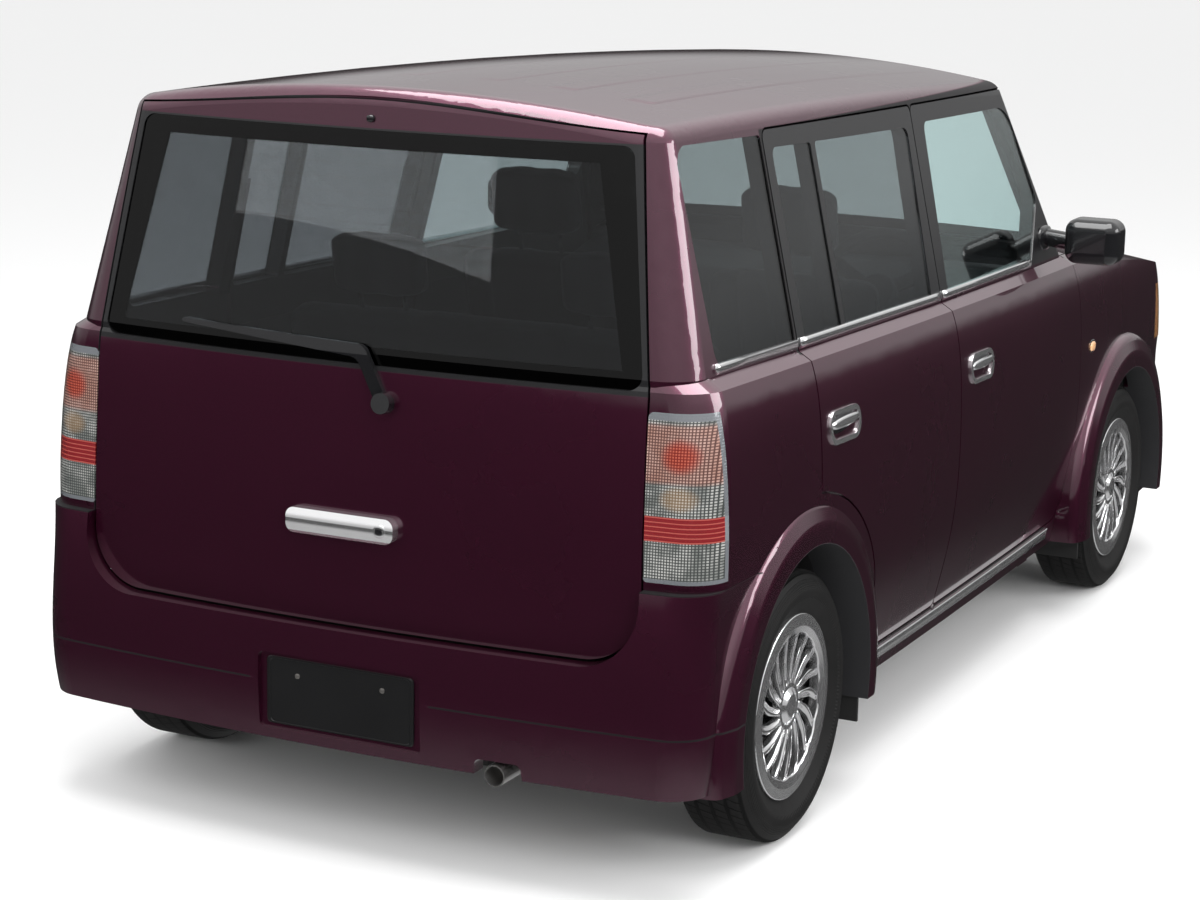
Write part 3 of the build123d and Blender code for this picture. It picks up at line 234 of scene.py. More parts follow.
body = g.mix(inside, body, rgb(0.020, 0.020, 0.022))
body = g.mix(gin["Seam"], body, rgb(0.004, 0.003, 0.004))
plain = g.either(inside, gin["Seam"])
dull = g.either(gin["Black"], plain)
g.put(gout["Color"], body)
g.put(gout["Metallic"], g.blend(dull, 0.80, 0.0))
lacquer = g.plus(0.24, g.times(dust, 0.08))
g.put(gout["Roughness"], g.blend(plain, g.blend(gin["Black"], lacquer, 0.32), 0.72))
g.put(gout["Coat"], g.blend(plain, g.blend(gin["Black"], 1.0, 0.25), 0.0))
peel = g.bump(g.noise(240.0, 1.0), 0.03, 0.0004)
g.put(gout["Normal"], g.bump(gin["Height"], 1.0, 0.004, peel))


def inner_side(graph, facing):
    """1 on the surfaces that face the cabin."""
    _, x, _, _, normal_x, normal_y, normal_z = graph.where()
    if facing == "side":
        turned = graph.times(normal_x, graph.math("SIGN", x))
        return graph.flip(graph.step(turned, -0.45, -0.25))
    turned = normal_y if facing == "rear" else normal_z
    return graph.flip(graph.step(turned, -0.35, -0.15))


def paint(name, facing=None, black=None, seam=None, height=None):
    """Metallic maroon under clear lacquer. black, seam and height take a graph and give a mask."""
    made, graph, shader = material(name)
    inputs = {}
    if facing:
        inputs["Inside"] = inner_side(graph, facing)
    for key, rule in (("Black", black), ("Seam", seam), ("Height", height)):
        if rule:
            inputs[key] = rule(graph)
    out = use(graph, PAINT, inputs)
    for key, source in (("Base Color", "Color"), ("Metallic", "Metallic"), ("Roughness", "Roughness"),
                        ("Coat Weight", "Coat"), ("Normal", "Normal")):
        graph.put(shader.inputs[key], out[source])
    shader.inputs["Coat Roughness"].default_value = 0.03
    shader.inputs["Coat IOR"].default_value = 1.75
    return made


def grained(name, colour, roughness, scale=420.0, strength=0.35, wear=0.25, metallic=0.0, coat=0.0):
    """Moulded plastic, rubber, cast or pressed metal, by its grain and wear."""
    made, graph, shader = material(name)
    out = use(graph, GRAIN, {"Scale": scale, "Strength": strength, "Wear": wear})
    tone = graph.add("ShaderNodeVectorMath", operation="SCALE")
    tone.inputs[0].default_value = colour
    graph.put(tone.inputs["Scale"], out["Shade"])
    graph.put(shader.inputs["Base Color"], tone.outputs[0])
    graph.put(shader.inputs["Normal"], out["Normal"])
    graph.put(shader.inputs["Roughness"], graph.times(out["Shade"], roughness))
    shader.inputs["Metallic"].default_value = metallic
    shader.inputs["Coat Weight"].default_value = coat
    return made


def glass(name, tint, border=None, lines=None):
    """Tinted glass. border masks the fired black edge, lines the heater's thin wires."""
    made, graph, shader = material(name)
    deeper = rgb(*(0.85 * part for part in tint))
    colour = graph.mix(graph.times(graph.noise(3.0), 0.12), rgb(*tint), deeper)
    if lines:
        colour = graph.mix(lines(graph), colour, rgb(0.05, 0.022, 0.010))
    if border:
        colour = graph.mix(graph.step(border(graph), 0.2, 0.6), colour, rgb(0.001, 0.001, 0.001))
    graph.put(shader.inputs["Base Color"], colour)
    shader.inputs["Transmission Weight"].default_value = 1.0
    shader.inputs["Roughness"].default_value = 0.0
    shader.inputs["IOR"].default_value = 1.45
    graph.put(shader.inputs["Normal"], graph.bump(graph.noise(1.2, 0.0), 0.01, 0.001))
    return made


def above_belt(graph):
    _, _, y, z, *_ = graph.where()
    height = graph.minus(z, graph.times(y, BELT_SLOPE))
    return graph.step(height, BELT_Z + 0.003, BELT_Z + 0.006)


def screen_surround(graph):
    """The black surround on which the rear screen is bonded, out to the tailgate's edges."""
    return graph.band(graph.where()[3], 1.058, 1.5525, 0.0015)


def roof_ribs(graph):
    """Six shallow pressed ribs that run along the roof and fade at both ends."""
    _, x, y, *_ = graph.where()
    away = graph.away(x)
    wave = graph.math("COSINE", graph.times(graph.minus(away, 0.10), 2 * math.pi / 0.18))
    rib = graph.times(graph.step(wave, 0.15, 0.8), graph.band(away, 0.02, 0.52, 0.01))
    return graph.times(graph.times(rib, 3.0), graph.band(y, -0.25, 1.45, 0.03))


def bumper_lines(graph):
    """The joint under the rear bumper's upper half and the shut line at its top."""
    _, x, _, z, *_ = graph.where()
    low = graph.times(graph.band(z, 0.3675, 0.3720, 0.0007),
                     graph.step(graph.away(x), 0.215, 0.225))
    return graph.either(low, graph.step(z, 0.6645, 0.6665))


def frame_lines(graph):
    """The black edge of the quarter window, along the rear door."""
    _, _, y, z, *_ = graph.where()
    return graph.times(graph.band(z, 1.072, 1.55, 0.002), graph.flip(graph.step(y, 1.276, 1.279)))


# ---------------------------------------------------------------- materials of the CAD nodes
PAINT_SIDE = paint("paint_side", "side", seam=frame_lines)
PAINT_DOOR = paint("paint_door", "side", black=above_belt)
PAINT_TAIL = paint("paint_tailgate", "rear", black=screen_surround)
PAINT_TOP = paint("paint_bonnet", "top")
PAINT_ROOF = paint("paint_roof", "top", height=roof_ribs)
PAINT_WING = paint("paint_wing", "side")
PAINT_BUMPER = paint("paint_bumper", seam=bumper_lines)
TRIM = grained("trim_satin_black", (0.013, 0.013, 0.014), 0.42, 500, 0.25)
TRIM_GLOSS = grained("trim_gloss_black", (0.008, 0.008, 0.009), 0.14, 60, 0.04, 0.2, coat=0.6)
RUBBER = grained("rubber", (0.014, 0.014, 0.014), 0.8, 700, 0.5)
UNDERBODY = grained("underbody_coat", (0.012, 0.012, 0.012), 0.9, 240, 0.8)
CAST = grained("cast_metal", (0.11, 0.11, 0.11), 0.6, 300, 0.6, 0.5, 0.6)
STEEL = grained("pressed_steel", (0.20, 0.19, 0.18), 0.45, 120, 0.2, 0.6, 0.8)
PLASTIC = grained("grained_plastic", (0.030, 0.030, 0.033), 0.6, 620, 0.5)


def cover_crown(graph, axle):
    """The rounded backs of a wheel cover's 17 swirl blades."""
    _, _, y, z, *_ = graph.where()
    fore = graph.minus(y, axle)
    lift = graph.minus(HUB_HEIGHT, z)
    reach = graph.reach(fore, lift)
    swirl = graph.times(graph.minus(reach, 0.042), math.radians(177.0))
    turn = graph.minus(graph.math("ARCTAN2", fore, lift), swirl)
    return graph.times(graph.math("COSINE", graph.times(turn, 17.0)), graph.band(reach, 0.056, 0.160, 0.006))


def bright(name, roughness, axle=None, bar=None):
    """Bright plating with a faint haze. A wheel cover has crowned blades, and painted shade in what lies
    deep.
    bar is the middle height and half height of a crowned bar."""
    made, graph, shader = material(name)
    haze = graph.noise(18.0, 4.0)
    colour = graph.mix(graph.times(haze, 0.25), rgb(0.94, 0.94, 0.95), rgb(0.80, 0.79, 0.79))
    normal = graph.bump(graph.noise(60.0, 1.0), 0.02, 0.0005)
    if axle is not None:
        # Painted shade: the cover's deeper, inner parts are darkened almost to black.
        depth = graph.flip(graph.step(graph.away(graph.where()[1]), 0.774, 0.784))
        colour = graph.mix(graph.times(depth, 0.93), colour, rgb(0.02, 0.02, 0.02))
        normal = graph.bump(cover_crown(graph, axle), 1.0, 0.006, normal)
    if bar:
        middle, half = bar
        off = graph.math("DIVIDE", graph.minus(graph.where()[3], middle), half)
        normal = graph.bump(graph.times(graph.times(off, off), -1.0), 1.0, half * 0.45, normal)
    graph.put(shader.inputs["Base Color"], colour)
    shader.inputs["Metallic"].default_value = 0.94
    graph.put(shader.inputs["Roughness"], graph.plus(graph.times(haze, 0.08), roughness))
    graph.put(shader.inputs["Normal"], normal)
    return made


CHROME = bright("chrome", 0.05)
COVERS = {row: bright("cover_" + row, 0.07, y) for row, y in AXLES.items()}


def exhaust_metal():
    made, graph, shader = material("exhaust_metal")
    tip = graph.step(graph.where()[2], 1.74, 1.76)
    heat = graph.noise(9.0, 4.0)
    colour = graph.mix(heat, rgb(0.07, 0.06, 0.055), rgb(0.16, 0.13, 0.11))
    graph.put(shader.inputs["Base Color"], graph.mix(tip, colour, rgb(0.45, 0.44, 0.43)))
    graph.put(shader.inputs["Roughness"], graph.blend(tip, 0.65, 0.22))
    shader.inputs["Metallic"].default_value = 0.9
    graph.put(shader.inputs["Normal"], graph.bump(heat, 0.2, 0.001))
    return made


def tyre_rubber(name, axle_y):
    """Black rubber: grooves and blocks on the tread, fine rings on the side wall."""
    made, graph, shader = material(name)
    _, x, y, z, *_ = graph.where()
    across = graph.minus(graph.away(x), 0.727)
    fore = graph.minus(y, axle_y)
    high = graph.minus(z, HUB_HEIGHT)
    radius = graph.reach(fore, high)
    angle = graph.math("ARCTAN2", high, fore)
    tread = graph.step(radius, 0.292, 0.296)
    ribs = graph.math("COSINE", graph.times(across, 2 * math.pi / 0.036))
    grooves = graph.step(ribs, 0.62, 0.80)
    slant = graph.plus(graph.times(angle, 72.0), graph.times(across, 90.0))
    blocks = graph.step(graph.math("SINE", slant), 0.82, 0.93)
    rings = graph.times(graph.math("SINE", graph.times(radius, 1500.0)),
                       graph.band(radius, 0.262, 0.284, 0.002))
    teeth = graph.times(graph.math("SINE", graph.times(angle, 180.0)),
                       graph.band(radius, 0.240, 0.246, 0.001))
    cuts = graph.times(tread, graph.either(grooves, blocks))
    height = graph.minus(graph.times(graph.plus(rings, teeth), 0.12), cuts)
    dust = graph.times(graph.noise(24.0, 5.0), 0.5)
    colour = graph.mix(dust, rgb(0.006, 0.006, 0.006), rgb(0.018, 0.017, 0.017))
    # Painted shade: the tread's grooves and cuts are darker than the rubber around them.
    graph.put(shader.inputs["Base Color"], graph.mix(cuts, colour, rgb(0.003, 0.003, 0.003)))
    graph.put(shader.inputs["Roughness"], graph.blend(tread, 0.58, 0.86))
    shader.inputs["Specular IOR Level"].default_value = 0.22
    graph.put(shader.inputs["Normal"], graph.bump(height, 1.0, 0.004))
    return made


def tail_lens():
    """Clear and rose lens with fine prisms, a red glow over an amber one, a red band and a grey rim."""
    low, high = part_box("tail_lamps")
    made, graph, shader = material("tail_lens")
    _, x, y, z, *_ = graph.where()
    down = graph.math("DIVIDE", graph.minus(high.z, z), high.z - low.z)
    away = graph.away(x)
    across = graph.math("DIVIDE", graph.minus(away, 0.742), 0.042)
    rows, columns = (graph.step(graph.wave(place, 0.0060), -0.95, 0.25) for place in (z, away))
    prisms = graph.times(rows, columns)
    blotch = graph.step(graph.noise(22.0, 2.0), 0.35, 0.65)
    pale = graph.mix(blotch, rgb(0.20, 0.21, 0.20), rgb(0.50, 0.50, 0.48))
    clear = graph.mix(prisms, rgb(0.055, 0.060, 0.058), pale)

    def glow(height, size):
        up = graph.math("DIVIDE", graph.minus(down, height), size)
        square = graph.plus(graph.times(across, across), graph.times(up, up))
        return graph.flip(graph.step(square, 0.1, 1.2))

    rose = graph.mix(prisms, rgb(0.14, 0.045, 0.035), rgb(0.56, 0.25, 0.18))
    lamp = graph.mix(prisms, rgb(0.20, 0.012, 0.008), rgb(0.50, 0.075, 0.035))
    lines = graph.step(graph.wave(z, 0.0095), 0.55, 0.95)
    ruby = graph.mix(lines, rgb(0.17, 0.010, 0.013), rgb(0.36, 0.070, 0.055))
    red = graph.band(down, 0.605, 0.755, 0.004)
    colour = graph.mix(graph.times(graph.band(down, 0.07, 0.41, 0.02), 0.62), clear, rose)
    colour = graph.mix(graph.times(glow(0.25, 0.11), 0.85), colour, lamp)
    colour = graph.mix(graph.times(glow(0.50, 0.08), 0.35), colour, rgb(0.42, 0.24, 0.10))
    colour = graph.mix(red, colour, ruby)
    front = graph.flip(graph.step(y, low.y + 0.012, low.y + 0.014))
    ends = graph.either(graph.flip(graph.step(down, 0.042, 0.048)), graph.step(down, 0.972, 0.98))
    colour = graph.mix(graph.either(front, ends), colour, rgb(0.17, 0.18, 0.195))
    graph.put(shader.inputs["Base Color"], colour)
    graph.put(shader.inputs["Metallic"], graph.times(graph.flip(red), 0.25))
    graph.put(shader.inputs["Roughness"], graph.blend(graph.step(prisms, -0.5, 0.5), 0.35, 0.16))
    shader.inputs["Coat Weight"].default_value = 1.0
    shader.inputs["Coat Roughness"].default_value = 0.02
    graph.put(shader.inputs["Normal"], graph.bump(prisms, 0.3, 0.0008))
    return made


def head_lens():
    """Clear ribbed lens over a bright reflector, with a round lamp and an amber cell at the corner."""
    made, graph, shader = material("head_lens")
    _, x, _, z, *_ = graph.where()
    ribs = graph.wave(x, 0.012)
    bowl = graph.add("ShaderNodeTexVoronoi", {"Vector": graph.where()[0], "Scale": 9.0}).outputs["Distance"]
    reach = graph.reach(graph.minus(graph.away(x), 0.575), graph.minus(z, 0.778))
    amber = graph.times(graph.step(graph.away(x), 0.686, 0.689), 0.8)
    colour = graph.mix(bowl, rgb(0.50, 0.51, 0.53), rgb(0.22, 0.23, 0.25))
    colour = graph.mix(graph.flip(graph.step(reach, 0.058, 0.060)), colour, rgb(0.80, 0.81, 0.83))
    colour = graph.mix(graph.band(reach, 0.058, 0.063, 0.001), colour, rgb(0.02, 0.02, 0.02))
    colour = graph.mix(graph.flip(graph.step(reach, 0.016, 0.018)), colour, rgb(0.05, 0.05, 0.055))
    colour = graph.mix(amber, colour, rgb(0.75, 0.30, 0.06))
    graph.put(shader.inputs["Base Color"], colour)
    shader.inputs["Metallic"].default_value = 0.6
    shader.inputs["Roughness"].default_value = 0.12
    shader.inputs["Coat Weight"].default_value = 1.0
    graph.put(shader.inputs["Normal"], graph.bump(ribs, 0.3, 0.001))
    return made


def screen_border(node, margin):
    """A mask of the fired black edge on a front or rear screen, whose sides lean inwards."""
    low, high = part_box(node)
    cabin_lean = 0.215
    fade = 0.004

    def rule(graph):
        _, x, _, z, *_ = graph.where()
        side = graph.plus(graph.away(x), graph.times(graph.minus(z, low.z), cabin_lean))
        edge = graph.step(side, high.x - margin - fade, high.x - margin)
        foot = graph.flip(graph.step(z, low.z + margin, low.z + margin + fade))
        head = graph.step(z, high.z - margin - fade, high.z - margin)
        return graph.either(edge, graph.either(foot, head))
    return rule


def heater(graph):
    """The heated screen's wires on the inner face."""
    _, x, _, z, _, normal_y, _ = graph.where()
    wires = graph.step(graph.wave(z, 0.030), 0.985, 0.998)
    wires = graph.times(wires, graph.flip(graph.step(graph.away(x), 0.558, 0.562)))
    wires = graph.times(wires, graph.band(z, 1.13, 1.49, 0.002))
    return graph.times(wires, graph.flip(graph.step(normal_y, -0.1, 0.1)))


GLASS_CLEAR = glass("glass_clear", (0.72, 0.86, 0.86))
GLASS_SCREEN = glass("glass_windscreen", (0.74, 0.87, 0.86), border=screen_border("windscreen", 0.03))
GLASS_DARK = glass("glass_privacy", (0.30, 0.325, 0.34))
GLASS_REAR = glass("glass_rear_screen", (0.30, 0.32, 0.335), border=screen_border("tailgate_glass", 0.035),
                   lines=heater)

LOOKS = {
    "side_frame_left": PAINT_SIDE, "side_frame_right": PAINT_SIDE, "roof_panel": PAINT_ROOF,
    "cowl_panel": TRIM, "windscreen": GLASS_SCREEN, "quarter_glass": GLASS_DARK,
    "fender_left": PAINT_WING, "fender_right": PAINT_WING, "front_bumper": PAINT_WING,
    "rear_bumper": PAINT_BUMPER, "grille": TRIM_GLOSS, "front_lamps": head_lens(), "tail_lamps": tail_lens(),
    "sill_mouldings": bright("sill_chrome", 0.05, bar=(0.2815, 0.0155)), "mud_flaps": RUBBER,
    "engine": CAST, "radiator": STEEL, "exhaust": exhaust_metal(), "fuel_tank": PLASTIC,
    "front_subframe": UNDERBODY, "rear_axle": UNDERBODY, "floor_pan": UNDERBODY, "bulkhead": UNDERBODY,
    "rear_floor": UNDERBODY, "dashboard": PLASTIC, "steering_wheel": PLASTIC, "bonnet": PAINT_TOP,
    "tailgate": PAINT_TAIL, "tailgate_glass": GLASS_REAR, "rear_wiper": TRIM_GLOSS,
    "tailgate_handle": bright("handle_chrome", 0.05, bar=(0.727, 0.027)),
    "knuckle_left": CAST, "knuckle_right": CAST,
}
TYRES = {row: tyre_rubber("tyre_" + row, y) for row, y in AXLES.items()}
for side, _ in SIDES:
    LOOKS["mirror_" + side] = TRIM_GLOSS
    for row in ("front", "rear"):
        LOOKS[f"door_{row}_{side}"] = PAINT_DOOR
        LOOKS[f"door_{row}_glass_{side}"] = GLASS_CLEAR if row == "front" else GLASS_DARK
        LOOKS[f"door_{row}_handle_{side}"] = CHROME
        LOOKS[f"wheel_{row}_{side}"] = COVERS[row]
        LOOKS[f"tyre_{row}_{side}"] = TYRES[row]
for name, node in NODES.items():
    if name in LOOKS:
        node.data.materials.clear()
        node.data.materials.append(LOOKS[name])


# ---------------------------------------------------------------- mesh helpers
def finish_mesh(name, form, look, body, smooth=True):
    """One closed piece from a bmesh, faces outward, that rides on a body."""
    bmesh.ops.recalc_face_normals(form, faces=form.faces)
    if form.calc_volume(signed=True) < 0:
        bmesh.ops.reverse_faces(form, faces=form.faces)
    mesh = bpy.data.meshes.new(name)
    form.to_mesh(mesh)
    form.free()
    mesh.materials.append(look)
    if smooth:
        mesh.polygons.foreach_set("use_smooth", [True] * len(mesh.polygons))
    piece = bpy.data.objects.new(name, mesh)
    bpy.context.scene.collection.objects.link(piece)
    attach(piece, body)
    return piece


def extruded(form, cap, first):
    """Extrude a face in place and return the new face. The old one stays only where it closes the form."""
    grown = bmesh.ops.extrude_face_region(form, geom=[cap])["geom"]
    if not first:
        bmesh.ops.delete(form, geom=[cap], context="FACES_ONLY")
    return next(part for part in grown if isinstance(part, bmesh.types.BMFace))


def sweep(rings):
    """A closed skin: a face through the first ring, extruded to each ring after it."""
    form = bmesh.new()
    cap = form.faces.new([form.verts.new(point) for point in rings[0]])
    for k, ring in enumerate(rings[1:]):
        cap = extruded(form, cap, first=k == 0)
        for vert, point in zip(cap.verts, ring):
            vert.co = point
    return form


def stack(form, steps):
    """A flat face extruded upwards. Each step gives a height and a share of the face's first size."""
    cap = form.faces[:][0]
    height, size = 0.0, 1.0
    for k, (new_height, new_size) in enumerate(steps):
        if k > 0:
            cap = extruded(form, cap, first=k == 1)
        share = new_size / size
        bmesh.ops.translate(form, vec=(0, 0, new_height - height), verts=cap.verts)
        bmesh.ops.scale(form, vec=(share, share, 1.0), verts=cap.verts)
        height, size = new_height, new_size


def stand_up(form, centre, out, size):
    """Turn a stacked form to face out, level, with its own length, height and depth."""
    out = Vector(out)
    along = Vector((abs(out.y), abs(out.x), 0.0))
    turned = Matrix((along * size[0], Vector((0, 0, size[1])), out * size[2])).transposed().to_4x4()
    turned.translation = centre
    bmesh.ops.transform(form, matrix=turned, verts=form.verts)


def soft_corners(corners, steps=5):
    """A closed outline with every corner (a, b, radius) turned into a short arc."""
    points = []
    count = len(corners)
    for k, (a, b, radius) in enumerate(corners):
        here = Vector((a, b))
        back = (Vector(corners[k - 1][:2]) - here).normalized()
        ahead = (Vector(corners[(k + 1) % count][:2]) - here).normalized()
        for s in range(steps + 1):
            t = s / steps
            points.append(here + back * radius * (1 - t) ** 2 + ahead * radius * t ** 2)
    return points


def soft_slab(low, high, radius, steps, curve=5):
    """An upright slab with soft corners. Each step gives a place along y and a share of the outline."""
    (x0, z0), (x1, z1) = low, high
    outline = soft_corners([(x0, z0, radius), (x1, z0, radius), (x1, z1, radius), (x0, z1, radius)], curve)
    middle = Vector(((x0 + x1) / 2, (z0 + z1) / 2))
    rings = []
    for y, share in steps:
        drawn = [middle + (point - middle) * share for point in outline]
        rings.append([(point.x, y, point.y) for point in drawn])
    return sweep(rings)


# ---------------------------------------------------------------- seats
def weave_cloth():
    """Dark woven cloth with a fine twill and a soft sheen."""
    made, graph, shader = material("seat_cloth")
    _, x, y, z, *_ = graph.where()
    run = graph.plus(y, z)
    warp = graph.math("SINE", graph.times(graph.plus(x, run), 2400.0))
    weft = graph.math("SINE", graph.times(graph.minus(x, run), 2400.0))
    weave = graph.times(warp, weft)
    tone = graph.mix(graph.step(weave, -0.5, 0.8), rgb(0.022, 0.022, 0.025), rgb(0.055, 0.054, 0.060))
    worn = graph.times(graph.noise(6.0, 4.0), 0.35)
    graph.put(shader.inputs["Base Color"], graph.mix(worn, tone, rgb(0.09, 0.088, 0.095)))
    shader.inputs["Roughness"].default_value = 0.88
    shader.inputs["Sheen Weight"].default_value = 0.25
    graph.put(shader.inputs["Normal"], graph.bump(weave, 0.35, 0.0008))
    return made


CLOTH = weave_cloth()
CUSHION_STEPS = 44
SEAM_DEPTH = 0.009
SEAM_WIDTH = 0.006


def cushion(name, corners, middle, half, edge, seams=()):
    """A crowned pad: a side outline carried across the seat, pulled in at both ends and at its seams."""
    outline = soft_corners(corners)
    centre = sum(outline, Vector((0, 0))) / len(outline)
    count = len(outline)
    normals = []
    for k in range(count):
        along = outline[(k + 1) % count] - outline[k - 1]
        out = Vector((along.y, -along.x)).normalized()
        normals.append(out if out.dot(outline[k] - centre) > 0 else -out)
    rings = []
    for s in range(CUSHION_STEPS + 1):
        u = -1 + 2 * s / CUSHION_STEPS
        end = max(0.0, abs(u) * half - (half - edge)) / edge
        inset = edge * (1 - math.sqrt(max(0.0, 1 - end * end))) + 0.010 * abs(u) ** 3
        for seam in seams:
            inset += SEAM_DEPTH * math.exp(-((u * half - seam) / SEAM_WIDTH) ** 2)
        inset += 0.0015 * math.sin(9 * u + 2.0)
        ring = []
        for point, out in zip(outline, normals):
            moved = point - out * min(inset, 0.9 * (point - centre).length)
            ring.append((middle + u * half, moved.x, moved.y))
        rings.append(ring)
    piece = finish_mesh(name, sweep(rings), CLOTH, "body")
    smooth = piece.modifiers.new("Round", "SUBSURF")
    smooth.levels = smooth.render_levels = 1
    return piece


def rod(name, low, high, radius, look, body):
    """A round bar between two points."""
    low, high = Vector(low), Vector(high)
    turn = (high - low).to_track_quat("Z", "Y").to_matrix().to_4x4()
    form = bmesh.new()
    bmesh.ops.create_cone(form, cap_ends=True, segments=14, radius1=radius, radius2=radius,
                          depth=(high - low).length, matrix=Matrix.Translation((low + high) / 2) @ turn)
    finish_mesh(name, form, look, body)


def rounded_bar(name, low, high, radius, look, body):
    """A straight bar from front to rear with rounded edges and softened ends."""
    (x0, y0, z0), (x1, y1, z1) = low, high
    steps = ((y0, 0.92), (y0 + radius / 2, 1.0), (y1 - radius / 2, 1.0), (y1, 0.92))
    finish_mesh(name, soft_slab((x0, z0), (x1, z1), radius, steps, 4), look, body)


# Side outlines of the pads: how far back, how high and the corner's radius.
FRONT_BASE = [(-0.388, 0.402, 0.04), (0.128, 0.402, 0.04), (0.128, 0.543, 0.05), (-0.388, 0.568, 0.07)]
FRONT_BACK = [(0.112, 0.442, 0.05), (0.228, 0.432, 0.05), (0.370, 1.083, 0.05), (0.264, 1.108, 0.06)]
FRONT_HEAD = [(0.287, 1.152, 0.035), (0.373, 1.142, 0.035), (0.403, 1.308, 0.035), (0.320, 1.323, 0.035)]
REAR_BASE = [(0.557, 0.434, 0.045), (1.022, 0.434, 0.04), (1.022, 0.558, 0.04), (0.557, 0.590, 0.07)]
REAR_BACK = [(1.084, 0.53, 0.03), (1.174, 0.53, 0.03), (1.266, 1.058, 0.04), (1.172, 1.083, 0.045)]
REAR_HEAD = [(1.184, 1.112, 0.03), (1.260, 1.102, 0.03), (1.284, 1.243, 0.03), (1.206, 1.253, 0.03)]
POST_APART = 0.06
RAIL_APART = 0.19
PAIR = (("a", -1), ("b", 1))

for side, sign in SIDES:
    middle = 0.355 * sign
    base = cushion(f"seat_cushion_{side}", FRONT_BASE, middle, 0.243, 0.045, (-0.150, 0.150))
    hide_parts(f"seat_front_{side}")
    cushion(f"seat_back_{side}", FRONT_BACK, middle, 0.233, 0.05, (-0.140, 0.140))
    cushion(f"seat_headrest_{side}", FRONT_HEAD, middle, 0.128, 0.035)
    for letter, k in PAIR:
        post, rail = middle + k * POST_APART, middle + k * RAIL_APART
        rod(f"seat_post_{side}_{letter}", (post, 0.305, 1.07), (post, 0.345, 1.20), 0.006, CHROME, "body")
        rounded_bar(f"seat_rail_{side}_{letter}", (rail - 0.018, -0.33, 0.302), (rail + 0.018, 0.11, 0.40),
                    0.008, STEEL, "body")

bench = cushion("rear_cushion", REAR_BASE, 0.0, 0.564, 0.05, (-0.20, 0.20, -0.42, 0.42))
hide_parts("seat_rear")
cushion("rear_back", REAR_BACK, 0.0, 0.564, 0.045, (-0.20, 0.20))
for side, sign in SIDES:
    middle = 0.30 * sign
    cushion(f"rear_headrest_{side}", REAR_HEAD, middle, 0.123, 0.03)
    for letter, k in PAIR:
        post = middle + k * POST_APART
        rod(f"rear_post_{side}_{letter}", (post, 1.205, 1.04), (post, 1.234, 1.16), 0.006, CHROME, "body")
rounded_bar("rear_seat_plinth", (-0.55, 0.63, 0.362), (0.55, 0.99, 0.432), 0.02, PLASTIC, "body")


# ---------------------------------------------------------------- trim that follows the body's surface
def surface(name):
    """The faces of a CAD node, to find places on."""
    mesh = NODES[name].data
    corners = [vertex.co[:] for vertex in mesh.vertices]
    return BVHTree.FromPolygons(corners, [face.vertices[:] for face in mesh.polygons])


def side_hit(tree, sign, y, z):
    """Where a line from outside meets the body side at this place, or None where it is open."""
    place, *_ = tree.ray_cast(Vector((sign * 1.3, y, z)), Vector((-sign, 0, 0)), 1.2)
    return place.x if place else None


def end_hit(tree, end, x, z):
    """Where a line from behind (end 1) or ahead (end -1) meets the body, or None where it is open."""
    place, *_ = tree.ray_cast(Vector((x, end * 2.4, z)), Vector((0, -end, 0)), 1.2)
    return place.y if place else None


BELT_PROFILE = [(-0.002, -0.011), (0.004, -0.010), (0.0065, -0.004),
                (0.0065, 0.004), (0.004, 0.010), (-0.002, 0.011)]
BELT_STEPS = 26
BELT_LIFT = 0.013


def belt(name, node, sign, start, stop, body):
    """A bright moulding laid along the foot of a side window."""
    tree = surface(node)
    rings = []
    for k in range(BELT_STEPS + 1):
        y = start + (stop - start) * k / BELT_STEPS
        z = BELT_Z + y * BELT_SLOPE + BELT_LIFT
        x = side_hit(tree, sign, y, z)
        if x is not None:
            rings.append([(x + sign * out, y, z + up) for out, up in BELT_PROFILE])
    finish_mesh(name, sweep(rings), CHROME, body)


for side, sign in SIDES:
    belt(f"belt_front_{side}", f"door_front_{side}", sign, -0.38, 0.352, f"door_front_{side}")
    belt(f"belt_rear_{side}", f"door_rear_{side}", sign, 0.374, 1.254, f"door_rear_{side}")
    belt(f"belt_quarter_{side}", f"side_frame_{side}", sign, 1.276, 1.68, "body")

DOME_STEPS = ((-0.3, 1.0), (0.0, 1.0), (0.45, 0.97), (0.8, 0.82), (0.97, 0.5), (1.0, 0.15))
DOME_FULLNESS = 0.75


def dome(name, centre, out, size, look, body):
    """A low oval cap on a surface. size is half its length, half its height and its depth."""
    form = bmesh.new()
    bmesh.ops.create_circle(form, cap_ends=True, segments=28, radius=1.0)
    for vert in form.verts:
        vert.co = [math.copysign(abs(part) ** DOME_FULLNESS, part) for part in vert.co]
    stack(form, DOME_STEPS)
    stand_up(form, centre, out, size)
    finish_mesh(name, form, look, body)


MARKER = grained("marker_amber", (0.75, 0.42, 0.22), 0.18, 900, 0.3, 0.2, coat=1.0)
for side, sign in SIDES:
    place = (side_hit(surface(f"fender_{side}"), sign, -0.82, 0.783), -0.82, 0.783)
    dome(f"marker_lamp_{side}", place, (sign, 0, 0), (0.024, 0.014, 0.006), MARKER, "body")
    dome(f"marker_bezel_{side}", place, (sign, 0, 0), (0.029, 0.019, 0.002), TRIM_GLOSS, "body")

